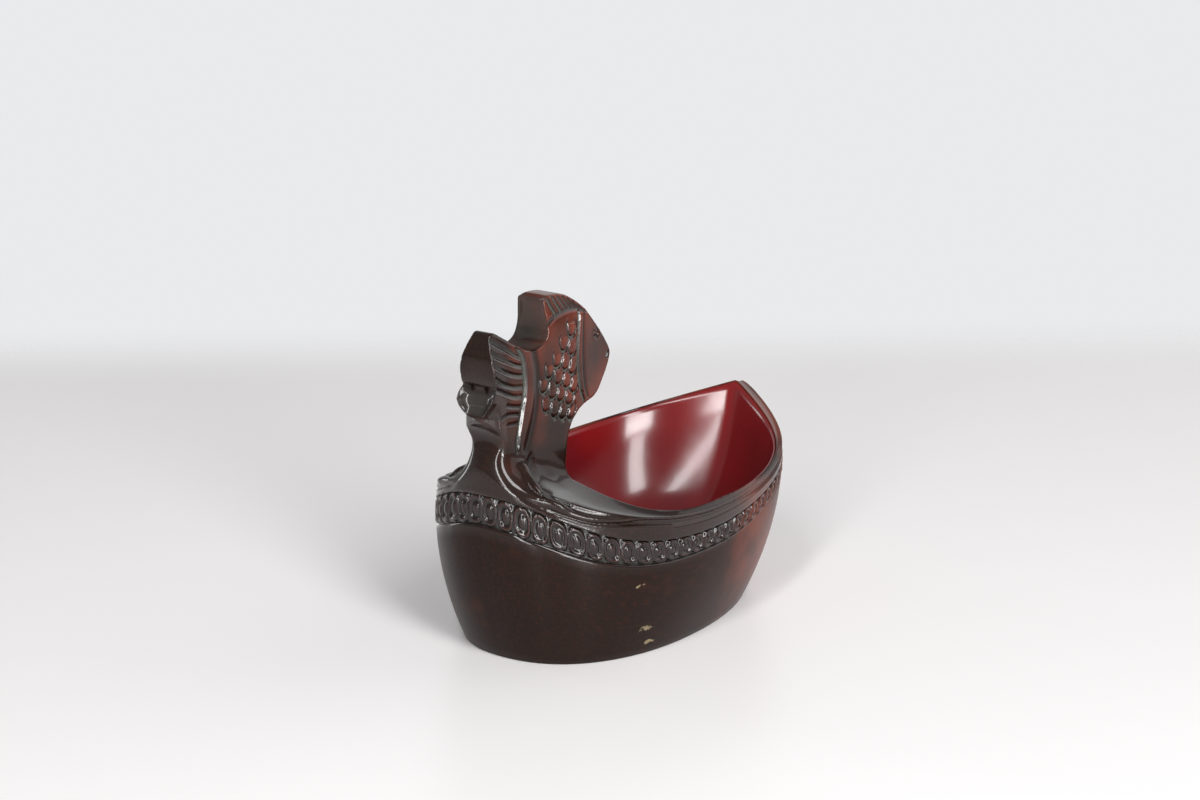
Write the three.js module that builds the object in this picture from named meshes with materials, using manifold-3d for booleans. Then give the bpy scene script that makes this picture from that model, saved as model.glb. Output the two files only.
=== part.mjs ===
// Carved wooden dish with a fish for a handle, in millimetres, +Z up.
// +X runs from the fish to the peaked prow, and the origin is on the table under the middle of the dish.
// The bowl is hollowed from one block, the fish stands on its end block with a blind tenon,
// and a red lacquer coat lines the bowl.

import * as THREE from "three";
import { LoftGeometry } from "three/addons/geometries/LoftGeometry.js";
import { mergeVertices } from "three/addons/utils/BufferGeometryUtils.js";
import Module from "manifold-3d";

// Overall reach: the tail and the prow are each half of this from the origin
const DISH_LENGTH = 167.6;

// Foot, the flat oval that the dish stands on
const FOOT_PROW_X = 63;
const FOOT_STERN_X = -67.6;
const FOOT_BEAM_X = -8;
const FOOT_HALF_WIDTH = 40.5;
const FOOT_PROW_FINENESS = 0.3;
const FOOT_STERN_SQUARENESS = 2.25;

// How sharply the ovals draw in to the point of the prow
const PROW_PINCH_POWER = 8;

// Outer edge of the rim, level along the sides and rising to both ends
const RIM_BEAM_X = -7;
const RIM_HALF_WIDTH = 50;
const RIM_PROW_FINENESS = 0.5;
const RIM_STERN_SQUARENESS = 2.05;
const SIDE_HEIGHT = 49.2;
const PROW_RISE = 16.5;
const SHOULDER_RISE = 26.4;

// Flat land between the outer edge of the rim and the mouth
const LAND_AT_PROW = 5.4;
const LAND_AT_SIDE = 3.2;
const LAND_AT_STERN = 37;
const MOUTH_BEAM_X = 3.5;
const MOUTH_PROW_FINENESS = 0.62;
const MOUTH_STERN_SQUARENESS = 3.6;
const MOUTH_STEP_UP = 0.7;
const MOUTH_PROW_RISE = 17;
const MOUTH_STERN_RISE = 12.4;

// How far the wall swells past a straight line from foot to rim
const SWELL_AT_PROW = 4.6;
const SWELL_AT_SIDE = 2.6;
const SWELL_AT_STERN = 4.6;

// Hollow of the bowl: the floor's thickness, how square it is in section, and how far its wall leans in
const FLOOR_THICKNESS = 8;
const HOLLOW_SQUARENESS = 2.8;
const HOLLOW_LEAN = 0.12;

// Channel for the band of loops, which runs round under the rim and follows its sweep
const BAND_SIDE_Z = 38.4;
const BAND_PROW_RISE = 20.6;
const BAND_PROW_SWEEP = 0.75;
const BAND_STERN_RISE = 18.2;
const BAND_STERN_SWEEP = 1.75;
const BAND_HALF_HEIGHT_AT_PROW = 2.3;
const BAND_HALF_HEIGHT_AT_SIDE = 3.6;
const BAND_HALF_HEIGHT_AT_STERN = 5.7;
const BAND_DEPTH = 1.1;
const BAND_STEP = 0.4;

// Loops carved along the band, each a raised ring round a lens
const LOOP_COUNT = 66;
const LOOP_FILL = 0.92;
const LOOP_MARGIN = 0.5;
const LOOP_SQUARENESS = 2.7;

// Section of a loop from its buried base to the lens: shares of its size, and heights over the wall
const LOOP_SECTION = [[1, -1.6], [0.86, 0.15], [0.6, -0.75], [0.36, 0]];

// Cove that is cut under the edge of the rim
const COVE_DROP = 2.6;
const COVE_DEPTH = 0.8;
const COVE_HEIGHT = 2.4;

// Neck, the waist where the fish meets the end block
const TAIL_OVERHANG = 5.6;
const NECK_BACK_SETBACK = 1.4;
const NECK_BACK_TUCK = 2;
const NECK_LENGTH = 39;
const NECK_THICKNESS = 14.8;
const NECK_SQUARENESS = 6;
const NECK_ROOT_SQUARENESS = 2.2;
const NECK_ROOT_DROP = 21;
const NECK_FLARE = 17;
const NECK_SPREAD_POWER = 3;
const NECK_FRONT_RECESS = 12;
const SEAT_STEP = 0.4;

// Blind tenon under the fish, in its mortise
const TENON_LENGTH = 22;
const TENON_THICKNESS = 6;
const TENON_DEPTH = 22;
const TENON_CLEARANCE = 0.3;
const TENON_END_GAP = 0.6;

// Head of the fish in side view: heights above the seat, and reaches along the length
const HEAD_REACH = 28.6;
const NOSE_RISE = 21.4;
const NOSE_BLUNTNESS = 5;
const THROAT_RISE = 2.6;
const THROAT_CURVE = 2;
const CHIN_RISE = 8;
const CHIN_REACH = 14;
const CHIN_FLAT = 7;
const CHIN_LIFT = 1;
const JAW_FULLNESS = 6;
const BROW_REACH = 17.5;
const BROW_DROP = 2.5;

// Fin on the back, and the notch for a finger behind it
const DORSAL_RISE = 49.3;
const DORSAL_FALL = 1;
const DORSAL_BACK_SETBACK = 13.6;
const DORSAL_FRONT_SETBACK = 2.4;
const DORSAL_BACK_HEIGHT = 11.6;
const DORSAL_BACK_LEAN = 1;
const NOTCH_FLOOR_RISE = 33.4;
const NOTCH_LENGTH = 11.5;
const NOTCH_BANK = 3;

// Tail, which turns up behind the notch and is split into two lobes
const TAIL_TOP_RISE = 42.8;
const TAIL_TOP_SETBACK = 2.8;
const TAIL_TIP_ROUND = 4;
const TAIL_END_LEAN = 3.4;
const CLEFT_RISE = 23.4;
const CLEFT_DEPTH = 4.4;
const CLEFT_LIP = 2;
const TAIL_LOBE_RISE = 17.6;
const TAIL_LOBE_FOOT = 5;
const LOBE_FULLNESS = 2.8;

// How thick the carved plank of the fish is left at its ends, and how far each thinning eases in
const FISH_EDGE_ROUND = 1.6;
const DORSAL_THICKNESS = 11.4;
const TAIL_TOP_THICKNESS = 8;
const NOSE_THICKNESS = 9.6;
const LOBE_THICKNESS = 11.6;
const DORSAL_EASE = 2;
const LOBE_EASE_ALONG = 2;
const LOBE_EASE_UP = 4;

// Eye and mouth
const EYE_RADIUS = 2;
const EYE_DEPTH = 0.7;
const EYE_RISE = 30.9;
const EYE_SETBACK = 11;
const MOUTH_HOLE_RADIUS = 1.3;
const MOUTH_HOLE_DEPTH = 2.2;
const MOUTH_HOLE_RISE = 21;
const MOUTH_HOLE_SETBACK = 2.2;

// Lines cut into both faces of the fish
const LINE_DEPTH = 0.9;
const LINE_HALF_WIDTH = 0.8;
const LINE_OVERSHOOT = 0.3;

// Rays of the tail, from the bar that bounds it out to the tail's edge
const RAY_COUNT = 5;
const RAY_ROOT_RISE = 31.6;
const RAY_ROOT_PITCH = 3.4;
const RAY_TIP_RISE = 39.2;
const RAY_TIP_PITCH = 4.2;
const RAY_ROOT_REACH = 18.4;
const RAY_TIP_REACH = 6.3;
const RAY_BOW = -1;

// Bar between tail and body: a narrow groove behind it and a wide one before it
const BAR_TOP_RISE = 31;
const BAR_FOOT_RISE = 3;
const BAR_TOP_REACH = 17;
const BAR_BOW = -3.6;
const BAR_WIDTH = 6.6;
const BAR_HOLLOW_HALF_WIDTH = 2;

// Two gill lines behind the head
const GILL_TOP_RISE = 39.4;
const GILL_FOOT_RISE = 11.5;
const GILL_REACH = 20.2;
const GILL_SPACING = 3;
const GILL_BOW = 2;

// Fin: the arc at its root, and the rays that lean back from it
const FIN_ROOT_RISE = 40;
const FIN_ROOT_BACK = 41;
const FIN_ROOT_FRONT = 18.4;
const FIN_ROOT_BOW = -2.8;
const FIN_RAY_COUNT = 6;
const FIN_RAY_PITCH = 2.8;
const FIN_RAY_LEAN = 2.3;
const FIN_RAY_HEIGHT = 4;

// Scales: open at the top, in rows that run down and back from behind the gills
const SCALES_IN_ROWS = [5, 5, 4, 3];
const SCALE_FIRST_RISE = 36.8;
const SCALE_FIRST_SETBACK = 28;
const SCALE_ROW_DROP = 6.7;
const SCALE_STEP_BACK = 4;
const SCALE_STEP_DOWN = 4.2;
const SCALE_HALF_WIDTH = 2.6;
const SCALE_HALF_HEIGHT = 3.5;
const SCALE_TURN = 0.35;

// Lacquer coat inside the bowl
const COAT_THICKNESS = 0.7;
const COAT_GAP = 0.3;
const COAT_REVEAL = 0.5;

// Fineness of the meshes
const ROWS_UP_TO_BAND = [0, 0.2, 0.45, 0.75, 1];
const COLUMNS = 72;
const HOLLOW_ROWS = 8;
const EDGE_ROWS = 2;
const OUTLINE_ROWS = 8;
const PIN_SIDES = 20;
const LOOP_SIDES = 8;
const SCALE_PIECES = 5;
const LINE_PIECES = 3;
const WELD = 0.001;
const SLIVER = 0.03;
const NECK_ROWS = 8;
const NECK_COLUMNS = 40;

// Places that follow from the driving dimensions
const PROW_X = DISH_LENGTH / 2;
const TAIL_X = -DISH_LENGTH / 2;
const SHOULDER_X = TAIL_X + TAIL_OVERHANG;
const NECK_BACK_X = SHOULDER_X + NECK_BACK_SETBACK;
const NECK_FRONT_X = NECK_BACK_X + NECK_LENGTH;
const NOSE_X = NECK_FRONT_X + HEAD_REACH;
const DORSAL_BACK_X = NECK_FRONT_X - DORSAL_BACK_SETBACK;
const SEAT_Z = SIDE_HEIGHT + SHOULDER_RISE + SEAT_STEP;

const wasm = await Module();
wasm.setup();

// An oval seen from above, pointed at the prow and squared at the stern, whose height rises to both ends.
class SweptOval extends THREE.Curve {
  constructor(form) {
    super();
    this.form = form;
  }

  getPoint(t, target = new THREE.Vector3()) {
    const f = this.form;
    const along = Math.cos(2 * Math.PI * t);
    const across = Math.sin(2 * Math.PI * t);
    const forward = along >= 0;
    const power = 2 / f.sternSquareness;
    const reach = forward ? along : Math.abs(along) ** power;
    const breadth = forward
      ? across * (1 - f.prowFineness * along ** PROW_PINCH_POWER)
      : Math.sign(across) * Math.abs(across) ** power;
    const end = forward ? f.prowX : f.sternX;
    const rise = (forward ? f.prowRise : f.sternRise) * (1 - Math.abs(breadth));
    return target.set(f.beamX + (end - f.beamX) * reach, f.halfWidth * breadth, f.sideZ + rise);
  }
}

const foot = new SweptOval({
  prowX: FOOT_PROW_X,
  beamX: FOOT_BEAM_X,
  sternX: FOOT_STERN_X,
  halfWidth: FOOT_HALF_WIDTH,
  prowFineness: FOOT_PROW_FINENESS,
  sternSquareness: FOOT_STERN_SQUARENESS,
  sideZ: 0,
  prowRise: 0,
  sternRise: 0,
});

const rim = new SweptOval({
  prowX: PROW_X,
  beamX: RIM_BEAM_X,
  sternX: SHOULDER_X,
  halfWidth: RIM_HALF_WIDTH,
  prowFineness: RIM_PROW_FINENESS,
  sternSquareness: RIM_STERN_SQUARENESS,
  sideZ: SIDE_HEIGHT,
  prowRise: PROW_RISE,
  sternRise: SHOULDER_RISE,
});

// The mouth's edge, drawn in by an inset and lowered by a reveal, so that the coat can follow it.
function mouthOval(inset, reveal) {
  return new SweptOval({
    prowX: PROW_X - LAND_AT_PROW - inset,
    beamX: MOUTH_BEAM_X,
    sternX: SHOULDER_X + LAND_AT_STERN + inset,
    halfWidth: RIM_HALF_WIDTH - LAND_AT_SIDE - inset,
    prowFineness: MOUTH_PROW_FINENESS,
    sternSquareness: MOUTH_STERN_SQUARENESS,
    sideZ: SIDE_HEIGHT + MOUTH_STEP_UP - reveal,
    prowRise: MOUTH_PROW_RISE,
    sternRise: MOUTH_STERN_RISE,
  });
}

// Share of the half width that the rim has at u: 1 at the sides and 0 at prow and stern.
function breadthAt(u) {
  return Math.abs(rim.getPointAt(u).y) / RIM_HALF_WIDTH;
}

function nearProw(u) {
  return u < 0.25 || u > 0.75;
}

// A size that differs at the prow, the side and the stern, blended round the bowl.
function blendRound(u, atProw, atSide, atStern) {
  const atEnd = nearProw(u) ? atProw : atStern;
  return atSide + (atEnd - atSide) * (1 - breadthAt(u) ** 3);
}

// A point on the outer wall at a height, moved out along the foot's normal.
function wallPoint(u, z, out = 0) {
  const low = foot.getPointAt(u);
  const high = rim.getPointAt(u);
  const share = z / high.z;
  const tangent = foot.getTangentAt(u);
  const swell = blendRound(u, SWELL_AT_PROW, SWELL_AT_SIDE, SWELL_AT_STERN) * 4 * share * (1 - share);
  const point = low.lerp(high, share);
  point.x += tangent.y * (swell + out);
  point.y -= tangent.x * (swell + out);
  return point;
}

function bandCentreZ(u) {
  const breadth = breadthAt(u);
  const rise = nearProw(u)
    ? BAND_PROW_RISE * (1 - breadth) ** BAND_PROW_SWEEP
    : BAND_STERN_RISE * (1 - breadth ** 2) ** BAND_STERN_SWEEP;
  return BAND_SIDE_Z + rise;
}

function bandHalfHeight(u) {
  return blendRound(u, BAND_HALF_HEIGHT_AT_PROW, BAND_HALF_HEIGHT_AT_SIDE, BAND_HALF_HEIGHT_AT_STERN);
}

function ring(count, pointAt) {
  return Array.from({ length: count }, (_, i) => pointAt(i / count));
}

// The outer wall's rings from the foot up to the edge of the rim.
function wallRings() {
  const bandFoot = (u) => bandCentreZ(u) - bandHalfHeight(u);
  const bandHead = (u) => bandCentreZ(u) + bandHalfHeight(u);
  const rimZ = (u) => rim.getPointAt(u).z;
  const coveFoot = (u) => rimZ(u) - COVE_DROP - COVE_HEIGHT;
  const heights = [
    ...ROWS_UP_TO_BAND.map((share) => [(u) => share * bandFoot(u), 0]),
    [(u) => bandFoot(u) + BAND_STEP, -BAND_DEPTH],
    [(u) => bandHead(u) - BAND_STEP, -BAND_DEPTH],
    [bandHead, 0],
    [(u) => Math.max(coveFoot(u), (bandHead(u) + rimZ(u)) / 2), 0],
    [(u) => rimZ(u) - COVE_DROP, -COVE_DEPTH],
    [rimZ, 0],
  ];
  return heights.map(([height, out]) => ring(COLUMNS, (u) => wallPoint(u, height(u), out)));
}

// One loop of the band, lofted from its buried base over the ring to the middle of the lens.
function bandLoop(number) {
  const u = (number + 0.5) / LOOP_COUNT;
  const power = 2 / LOOP_SQUARENESS;
  const halfPitch = LOOP_FILL / LOOP_COUNT / 2;
  const halfHeight = bandHalfHeight(u) - LOOP_MARGIN;
  const rings = LOOP_SECTION.map(([size, out]) =>
    ring(LOOP_SIDES, (t) => {
      const angle = 2 * Math.PI * (t + 0.5 / LOOP_SIDES);
      const c = Math.cos(angle);
      const s = Math.sin(angle);
      const across = Math.sign(c) * Math.abs(c) ** power * size * halfPitch;
      const up = Math.sign(s) * Math.abs(s) ** power * size * halfHeight;
      return wallPoint(u + across, bandCentreZ(u + across) + up, out);
    }),
  );
  return solidOf(loft(rings));
}

// The hollow's rings from the mouth down to the floor, all drawn in alike by an inset.
function hollowRings(inset, reveal) {
  const mouth = mouthOval(inset, reveal);
  const floorZ = FLOOR_THICKNESS + inset;
  const power = 2 / HOLLOW_SQUARENESS;
  const rings = [];
  for (let i = 0; i < HOLLOW_ROWS; i++) {
    const turn = (i / HOLLOW_ROWS) * (Math.PI / 2);
    const drop = Math.sin(turn) ** power;
    const width = Math.cos(turn) ** power * (1 - HOLLOW_LEAN * drop);
    rings.push(
      ring(COLUMNS, (u) => {
        const edge = mouth.getPointAt(u);
        const x = MOUTH_BEAM_X + (edge.x - MOUTH_BEAM_X) * width;
        return new THREE.Vector3(x, edge.y * width, edge.z - (edge.z - floorZ) * drop);
      }),
    );
  }
  return rings;
}

// Rings for the neck: a rounded plank at the seat that spreads into the shoulder of the bowl.
function neckRings() {
  const low = SEAT_Z - NECK_ROOT_DROP;
  const rings = [];
  for (let i = 0; i <= NECK_ROWS; i++) {
    const climb = i / NECK_ROWS;
    const left = 1 - climb;
    const z = low + (SEAT_Z - low) * climb;
    const wallX = wallPoint(0.5, Math.min(z, SIDE_HEIGHT + SHOULDER_RISE)).x;
    const back = THREE.MathUtils.lerp(wallX + NECK_BACK_TUCK * left, NECK_BACK_X, climb);
    const front = NECK_FRONT_X - NECK_FRONT_RECESS * left ** NECK_SPREAD_POWER;
    const halfThickness = NECK_THICKNESS / 2 + NECK_FLARE * left ** NECK_SPREAD_POWER;
    const power = 2 / THREE.MathUtils.lerp(NECK_SQUARENESS, NECK_ROOT_SQUARENESS, Math.sqrt(left));
    rings.push(
      ring(NECK_COLUMNS, (u) => {
        const c = Math.cos(2 * Math.PI * u);
        const s = Math.sin(2 * Math.PI * u);
        const x = (front + back) / 2 + ((front - back) / 2) * Math.sign(c) * Math.abs(c) ** power;
        return new THREE.Vector3(x, halfThickness * Math.sign(s) * Math.abs(s) ** power, z);
      }),
    );
  }
  return rings;
}

// The fish in side view: up the throat, over the head and the fin, through the notch and round the tail.
function fishOutline() {
  const underSeat = SEAT_Z - 2 * FISH_EDGE_ROUND;
  const shape = new THREE.Shape();
  shape.moveTo(NECK_FRONT_X, underSeat);
  shape.lineTo(NECK_FRONT_X, SEAT_Z + THROAT_RISE);
  drawHead(shape);
  drawNotch(shape);
  drawTail(shape);
  shape.lineTo(NECK_BACK_X, underSeat);
  shape.closePath();
  return shape;
}

function drawHead(shape) {
  const chinX = NECK_FRONT_X + CHIN_REACH;
  const chinZ = SEAT_Z + CHIN_RISE;
  const noseZ = SEAT_Z + NOSE_RISE;
  const crestZ = SEAT_Z + DORSAL_RISE - DORSAL_FALL;
  shape.bezierCurveTo(NECK_FRONT_X + THROAT_CURVE, chinZ, chinX - CHIN_FLAT, chinZ - CHIN_LIFT, chinX, chinZ);
  shape.bezierCurveTo(chinX + JAW_FULLNESS, chinZ + CHIN_LIFT, NOSE_X, noseZ - NOSE_BLUNTNESS, NOSE_X, noseZ);
  shape.bezierCurveTo(
    NOSE_X, noseZ + NOSE_BLUNTNESS, NOSE_X - BROW_REACH, crestZ - BROW_DROP,
    NECK_FRONT_X - DORSAL_FRONT_SETBACK, crestZ,
  );
  shape.lineTo(DORSAL_BACK_X, SEAT_Z + DORSAL_RISE);
}

function drawNotch(shape) {
  const floorZ = SEAT_Z + NOTCH_FLOOR_RISE;
  const backX = DORSAL_BACK_X - NOTCH_LENGTH;
  shape.lineTo(DORSAL_BACK_X + DORSAL_BACK_LEAN, SEAT_Z + DORSAL_RISE - DORSAL_BACK_HEIGHT);
  shape.bezierCurveTo(
    DORSAL_BACK_X, floorZ + NOTCH_BANK / 3, DORSAL_BACK_X - NOTCH_BANK, floorZ,
    DORSAL_BACK_X - NOTCH_LENGTH / 2, floorZ,
  );
  shape.quadraticCurveTo(backX, floorZ, backX - NOTCH_BANK, floorZ + NOTCH_BANK);
}

function drawTail(shape) {
  const cleftX = TAIL_X + CLEFT_DEPTH;
  const cleftZ = SEAT_Z + CLEFT_RISE;
  const topX = cleftX + TAIL_TOP_SETBACK;
  const topZ = SEAT_Z + TAIL_TOP_RISE;
  const lobeFootZ = SEAT_Z + TAIL_LOBE_FOOT;
  const r = TAIL_TIP_ROUND;
  shape.lineTo(topX + r, topZ - r / 2);
  shape.bezierCurveTo(topX + r / 4, topZ, topX - r / 2, topZ, topX - r * 0.7, topZ - r);
  shape.quadraticCurveTo(
    cleftX - TAIL_END_LEAN / 2, topZ - 2 * r, cleftX - CLEFT_LIP / 2, cleftZ + CLEFT_LIP,
  );
  shape.lineTo(cleftX, cleftZ);
  shape.bezierCurveTo(
    TAIL_X, cleftZ - CLEFT_LIP / 2, TAIL_X - LOBE_FULLNESS, SEAT_Z + TAIL_LOBE_RISE - CLEFT_DEPTH,
    NECK_BACK_X - LOBE_FULLNESS, lobeFootZ + CLEFT_DEPTH,
  );
  shape.quadraticCurveTo(NECK_BACK_X, lobeFootZ, NECK_BACK_X, SEAT_Z);
}

// How much of the neck's thickness the fish keeps at a point of its outline.
function fishThickness(x, z) {
  const rise = z - SEAT_Z;
  const ease = THREE.MathUtils.smoothstep;
  const onDorsal = x > DORSAL_BACK_X - DORSAL_EASE && rise > NOTCH_FLOOR_RISE;
  const onLobe = x < NECK_BACK_X + LOBE_EASE_ALONG;
  const lobeTop = TAIL_LOBE_FOOT + LOBE_EASE_UP;
  const towardsNose = ease(x, NECK_FRONT_X, NOSE_X);
  const towardsCrest = onDorsal ? ease(rise, NOTCH_FLOOR_RISE, DORSAL_RISE) : 0;
  const towardsTail = ease(-x, NOTCH_LENGTH - DORSAL_BACK_X, -TAIL_X - CLEFT_DEPTH);
  const towardsTip = towardsTail * ease(rise, CLEFT_RISE, TAIL_TOP_RISE);
  const towardsLobe = onLobe ? ease(rise, 0, lobeTop) * (1 - ease(rise, lobeTop, CLEFT_RISE)) : 0;
  const thinned = Math.max(
    towardsNose * (NECK_THICKNESS - NOSE_THICKNESS),
    towardsCrest * (NECK_THICKNESS - DORSAL_THICKNESS),
    towardsTip * (NECK_THICKNESS - TAIL_TOP_THICKNESS),
    towardsLobe * (NECK_THICKNESS - LOBE_THICKNESS),
  );
  return NECK_THICKNESS - thinned;
}

// Solids: a closed geometry with its vertices merged, and back.
function solidOf(geometry) {
  const bare = new THREE.BufferGeometry();
  bare.setAttribute("position", geometry.getAttribute("position"));
  bare.setIndex(geometry.getIndex());
  const merged = mergeVertices(bare, WELD);
  const index = merged.index.array;
  const corners = [];
  for (let i = 0; i < index.length; i += 3) {
    const [a, b, c] = [index[i], index[i + 1], index[i + 2]];
    if (a !== b && b !== c && c !== a) corners.push(a, b, c);
  }
  const mesh = new wasm.Mesh({
    numProp: 3,
    vertProperties: merged.attributes.position.array,
    triVerts: new Uint32Array(corners),
  });
  return new wasm.Manifold(mesh);
}

function geometryOf(solid) {
  const mesh = solid.getMesh();
  const geometry = new THREE.BufferGeometry();
  geometry.setAttribute("position", new THREE.BufferAttribute(mesh.vertProperties, 3));
  geometry.setIndex(new THREE.BufferAttribute(mesh.triVerts, 1));
  geometry.computeVertexNormals();
  return geometry;
}

// A ring drawn together to its middle, which closes an end of a loft.
function closingRing(points) {
  const middle = new THREE.Vector3();
  for (const point of points) middle.addScaledVector(point, 1 / points.length);
  return points.map(() => middle);
}

function loft(rings) {
  return new LoftGeometry([closingRing(rings[0]), ...rings, closingRing(rings.at(-1))]);
}

// A box between two heights, centred on the neck.
function neckBox(length, thickness, lowZ, highZ) {
  const box = new THREE.BoxGeometry(length, thickness, highZ - lowZ);
  box.translate((NECK_BACK_X + NECK_FRONT_X) / 2, 0, (lowZ + highZ) / 2);
  return box;
}

function bowlGeometry() {
  const bowl = solidOf(loft([...wallRings(), ...hollowRings(0, 0)]));
  const neck = solidOf(loft(neckRings()));
  const mortise = solidOf(
    neckBox(
      TENON_LENGTH + 2 * TENON_CLEARANCE,
      TENON_THICKNESS + 2 * TENON_CLEARANCE,
      SEAT_Z - TENON_DEPTH - TENON_END_GAP,
      SEAT_Z + SEAT_STEP,
    ),
  );
  const loops = Array.from({ length: LOOP_COUNT }, (_, number) => bandLoop(number));
  return geometryOf(wasm.Manifold.union([bowl, neck, ...loops]).subtract(mortise).simplify(SLIVER));
}

// Two short pins, each half sunk in a face of the fish, that cut the same pocket in both.
function pocketPins(radius, depth, x, z) {
  const face = fishThickness(x, z) / 2;
  return [-1, 1].map((side) => {
    const pin = new THREE.CylinderGeometry(radius, radius, 2 * depth, PIN_SIDES);
    pin.translate(x, side * face, z);
    return solidOf(pin);
  });
}

// The spots of a line in side view that bows away from its chord, in even steps.
function bowedLine(start, end, bow, pieces = LINE_PIECES) {
  const chord = end.clone().sub(start);
  const control = start.clone().addScaledVector(chord, 0.5);
  control.addScaledVector(new THREE.Vector2(-chord.y, chord.x).normalize(), 2 * bow);
  return new THREE.QuadraticBezierCurve(start, control, end).getPoints(pieces);
}

// The three corners of a line's pointed section at one of its spots, in one face of the fish.
function lineSection(spots, i, side, halfWidth) {
  const spot = spots[i];
  const along = spots[Math.min(i + 1, spots.length - 1)].clone().sub(spots[Math.max(i - 1, 0)]).normalize();
  const face = fishThickness(spot.x, spot.y) / 2;
  const reach = halfWidth * (1 + LINE_OVERSHOOT / LINE_DEPTH);
  const [stepX, stepZ] = [-reach * along.y, reach * along.x];
  const mouthY = side * (face + LINE_OVERSHOOT);
  return [
    [spot.x + stepX, mouthY, spot.y + stepZ],
    [spot.x - stepX, mouthY, spot.y - stepZ],
    [spot.x, side * (face - LINE_DEPTH), spot.y],
  ];
}

// A line cut with a pointed section into both faces of the fish.
function lineCuts(spots, halfWidth = LINE_HALF_WIDTH) {
  return [-1, 1].flatMap((side) => {
    const sections = spots.map((_, i) => lineSection(spots, i, side, halfWidth));
    return sections.slice(1).map((section, i) => wasm.Manifold.hull([...sections[i], ...section]));
  });
}

function tailCuts() {
  const cuts = [];
  for (let i = 0; i < RAY_COUNT; i++) {
    const root = new THREE.Vector2(TAIL_X + RAY_ROOT_REACH, SEAT_Z + RAY_ROOT_RISE - i * RAY_ROOT_PITCH);
    const tip = new THREE.Vector2(TAIL_X + RAY_TIP_REACH, SEAT_Z + RAY_TIP_RISE - i * RAY_TIP_PITCH);
    cuts.push(...lineCuts(bowedLine(root, tip, RAY_BOW, 2)));
  }
  const barTop = new THREE.Vector2(TAIL_X + BAR_TOP_REACH, SEAT_Z + BAR_TOP_RISE);
  const barFoot = new THREE.Vector2(TAIL_X + BAR_TOP_REACH, SEAT_Z + BAR_FOOT_RISE);
  const behind = bowedLine(barFoot, barTop, BAR_BOW);
  const before = behind.map((spot) => new THREE.Vector2(spot.x + BAR_WIDTH, spot.y));
  cuts.push(...lineCuts(behind), ...lineCuts(before, BAR_HOLLOW_HALF_WIDTH));
  return cuts;
}

function headCuts() {
  const cuts = [];
  for (const setback of [GILL_REACH, GILL_REACH + GILL_SPACING]) {
    const top = new THREE.Vector2(NOSE_X - setback, SEAT_Z + GILL_TOP_RISE);
    const low = new THREE.Vector2(NOSE_X - setback, SEAT_Z + GILL_FOOT_RISE);
    cuts.push(...lineCuts(bowedLine(top, low, -GILL_BOW)));
  }
  const back = new THREE.Vector2(NOSE_X - FIN_ROOT_BACK, SEAT_Z + FIN_ROOT_RISE);
  const front = new THREE.Vector2(NOSE_X - FIN_ROOT_FRONT, SEAT_Z + FIN_ROOT_RISE);
  cuts.push(...lineCuts(bowedLine(front, back, FIN_ROOT_BOW)));
  for (let i = 0; i < FIN_RAY_COUNT; i++) {
    const root = new THREE.Vector2(back.x + FIN_RAY_LEAN + (i + 0.5) * FIN_RAY_PITCH, back.y - FIN_ROOT_BOW);
    const tip = new THREE.Vector2(root.x - FIN_RAY_LEAN, root.y + FIN_RAY_HEIGHT);
    cuts.push(...lineCuts([root, tip]));
  }
  return cuts;
}

// Grooves round the lower part of the scales, which stand in rows that run down and back.
function scaleCuts() {
  const cuts = [];
  SCALES_IN_ROWS.forEach((count, row) => {
    for (let i = 0; i < count; i++) {
      const x = NOSE_X - SCALE_FIRST_SETBACK - i * SCALE_STEP_BACK;
      const z = SEAT_Z + SCALE_FIRST_RISE - row * SCALE_ROW_DROP - i * SCALE_STEP_DOWN;
      const under = new THREE.EllipseCurve(
        x, z, SCALE_HALF_WIDTH, SCALE_HALF_HEIGHT, Math.PI - SCALE_TURN, 2 * Math.PI + SCALE_TURN,
      );
      cuts.push(...lineCuts(under.getPoints(SCALE_PIECES)));
    }
  });
  return cuts;
}

function fishPlank() {
  const plank = new THREE.ExtrudeGeometry(fishOutline(), {
    depth: NECK_THICKNESS - 2 * FISH_EDGE_ROUND,
    bevelThickness: FISH_EDGE_ROUND,
    bevelSize: FISH_EDGE_ROUND,
    bevelOffset: -FISH_EDGE_ROUND,
    bevelSegments: EDGE_ROWS,
    curveSegments: OUTLINE_ROWS,
  });
  plank.translate(0, 0, FISH_EDGE_ROUND - NECK_THICKNESS / 2);
  plank.rotateX(Math.PI / 2);
  const places = plank.attributes.position;
  for (let i = 0; i < places.count; i++) {
    const share = fishThickness(places.getX(i), places.getZ(i)) / NECK_THICKNESS;
    places.setY(i, places.getY(i) * share);
  }
  return solidOf(plank);
}

function fishGeometry() {
  const underSeat = solidOf(neckBox(DISH_LENGTH, DISH_LENGTH, SEAT_Z - DISH_LENGTH, SEAT_Z));
  const tenon = solidOf(
    neckBox(TENON_LENGTH, TENON_THICKNESS, SEAT_Z - TENON_DEPTH, SEAT_Z + TENON_CLEARANCE),
  );
  const eyeZ = SEAT_Z + EYE_RISE;
  const mouthZ = SEAT_Z + MOUTH_HOLE_RISE;
  const pockets = [
    ...pocketPins(EYE_RADIUS, EYE_DEPTH, NOSE_X - EYE_SETBACK, eyeZ),
    ...pocketPins(MOUTH_HOLE_RADIUS, MOUTH_HOLE_DEPTH, NOSE_X - MOUTH_HOLE_SETBACK, mouthZ),
  ];
  const cuts = wasm.Manifold.union([...pockets, ...tailCuts(), ...headCuts(), ...scaleCuts()]);
  return geometryOf(fishPlank().subtract(underSeat).subtract(cuts).add(tenon).simplify(SLIVER));
}

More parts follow.
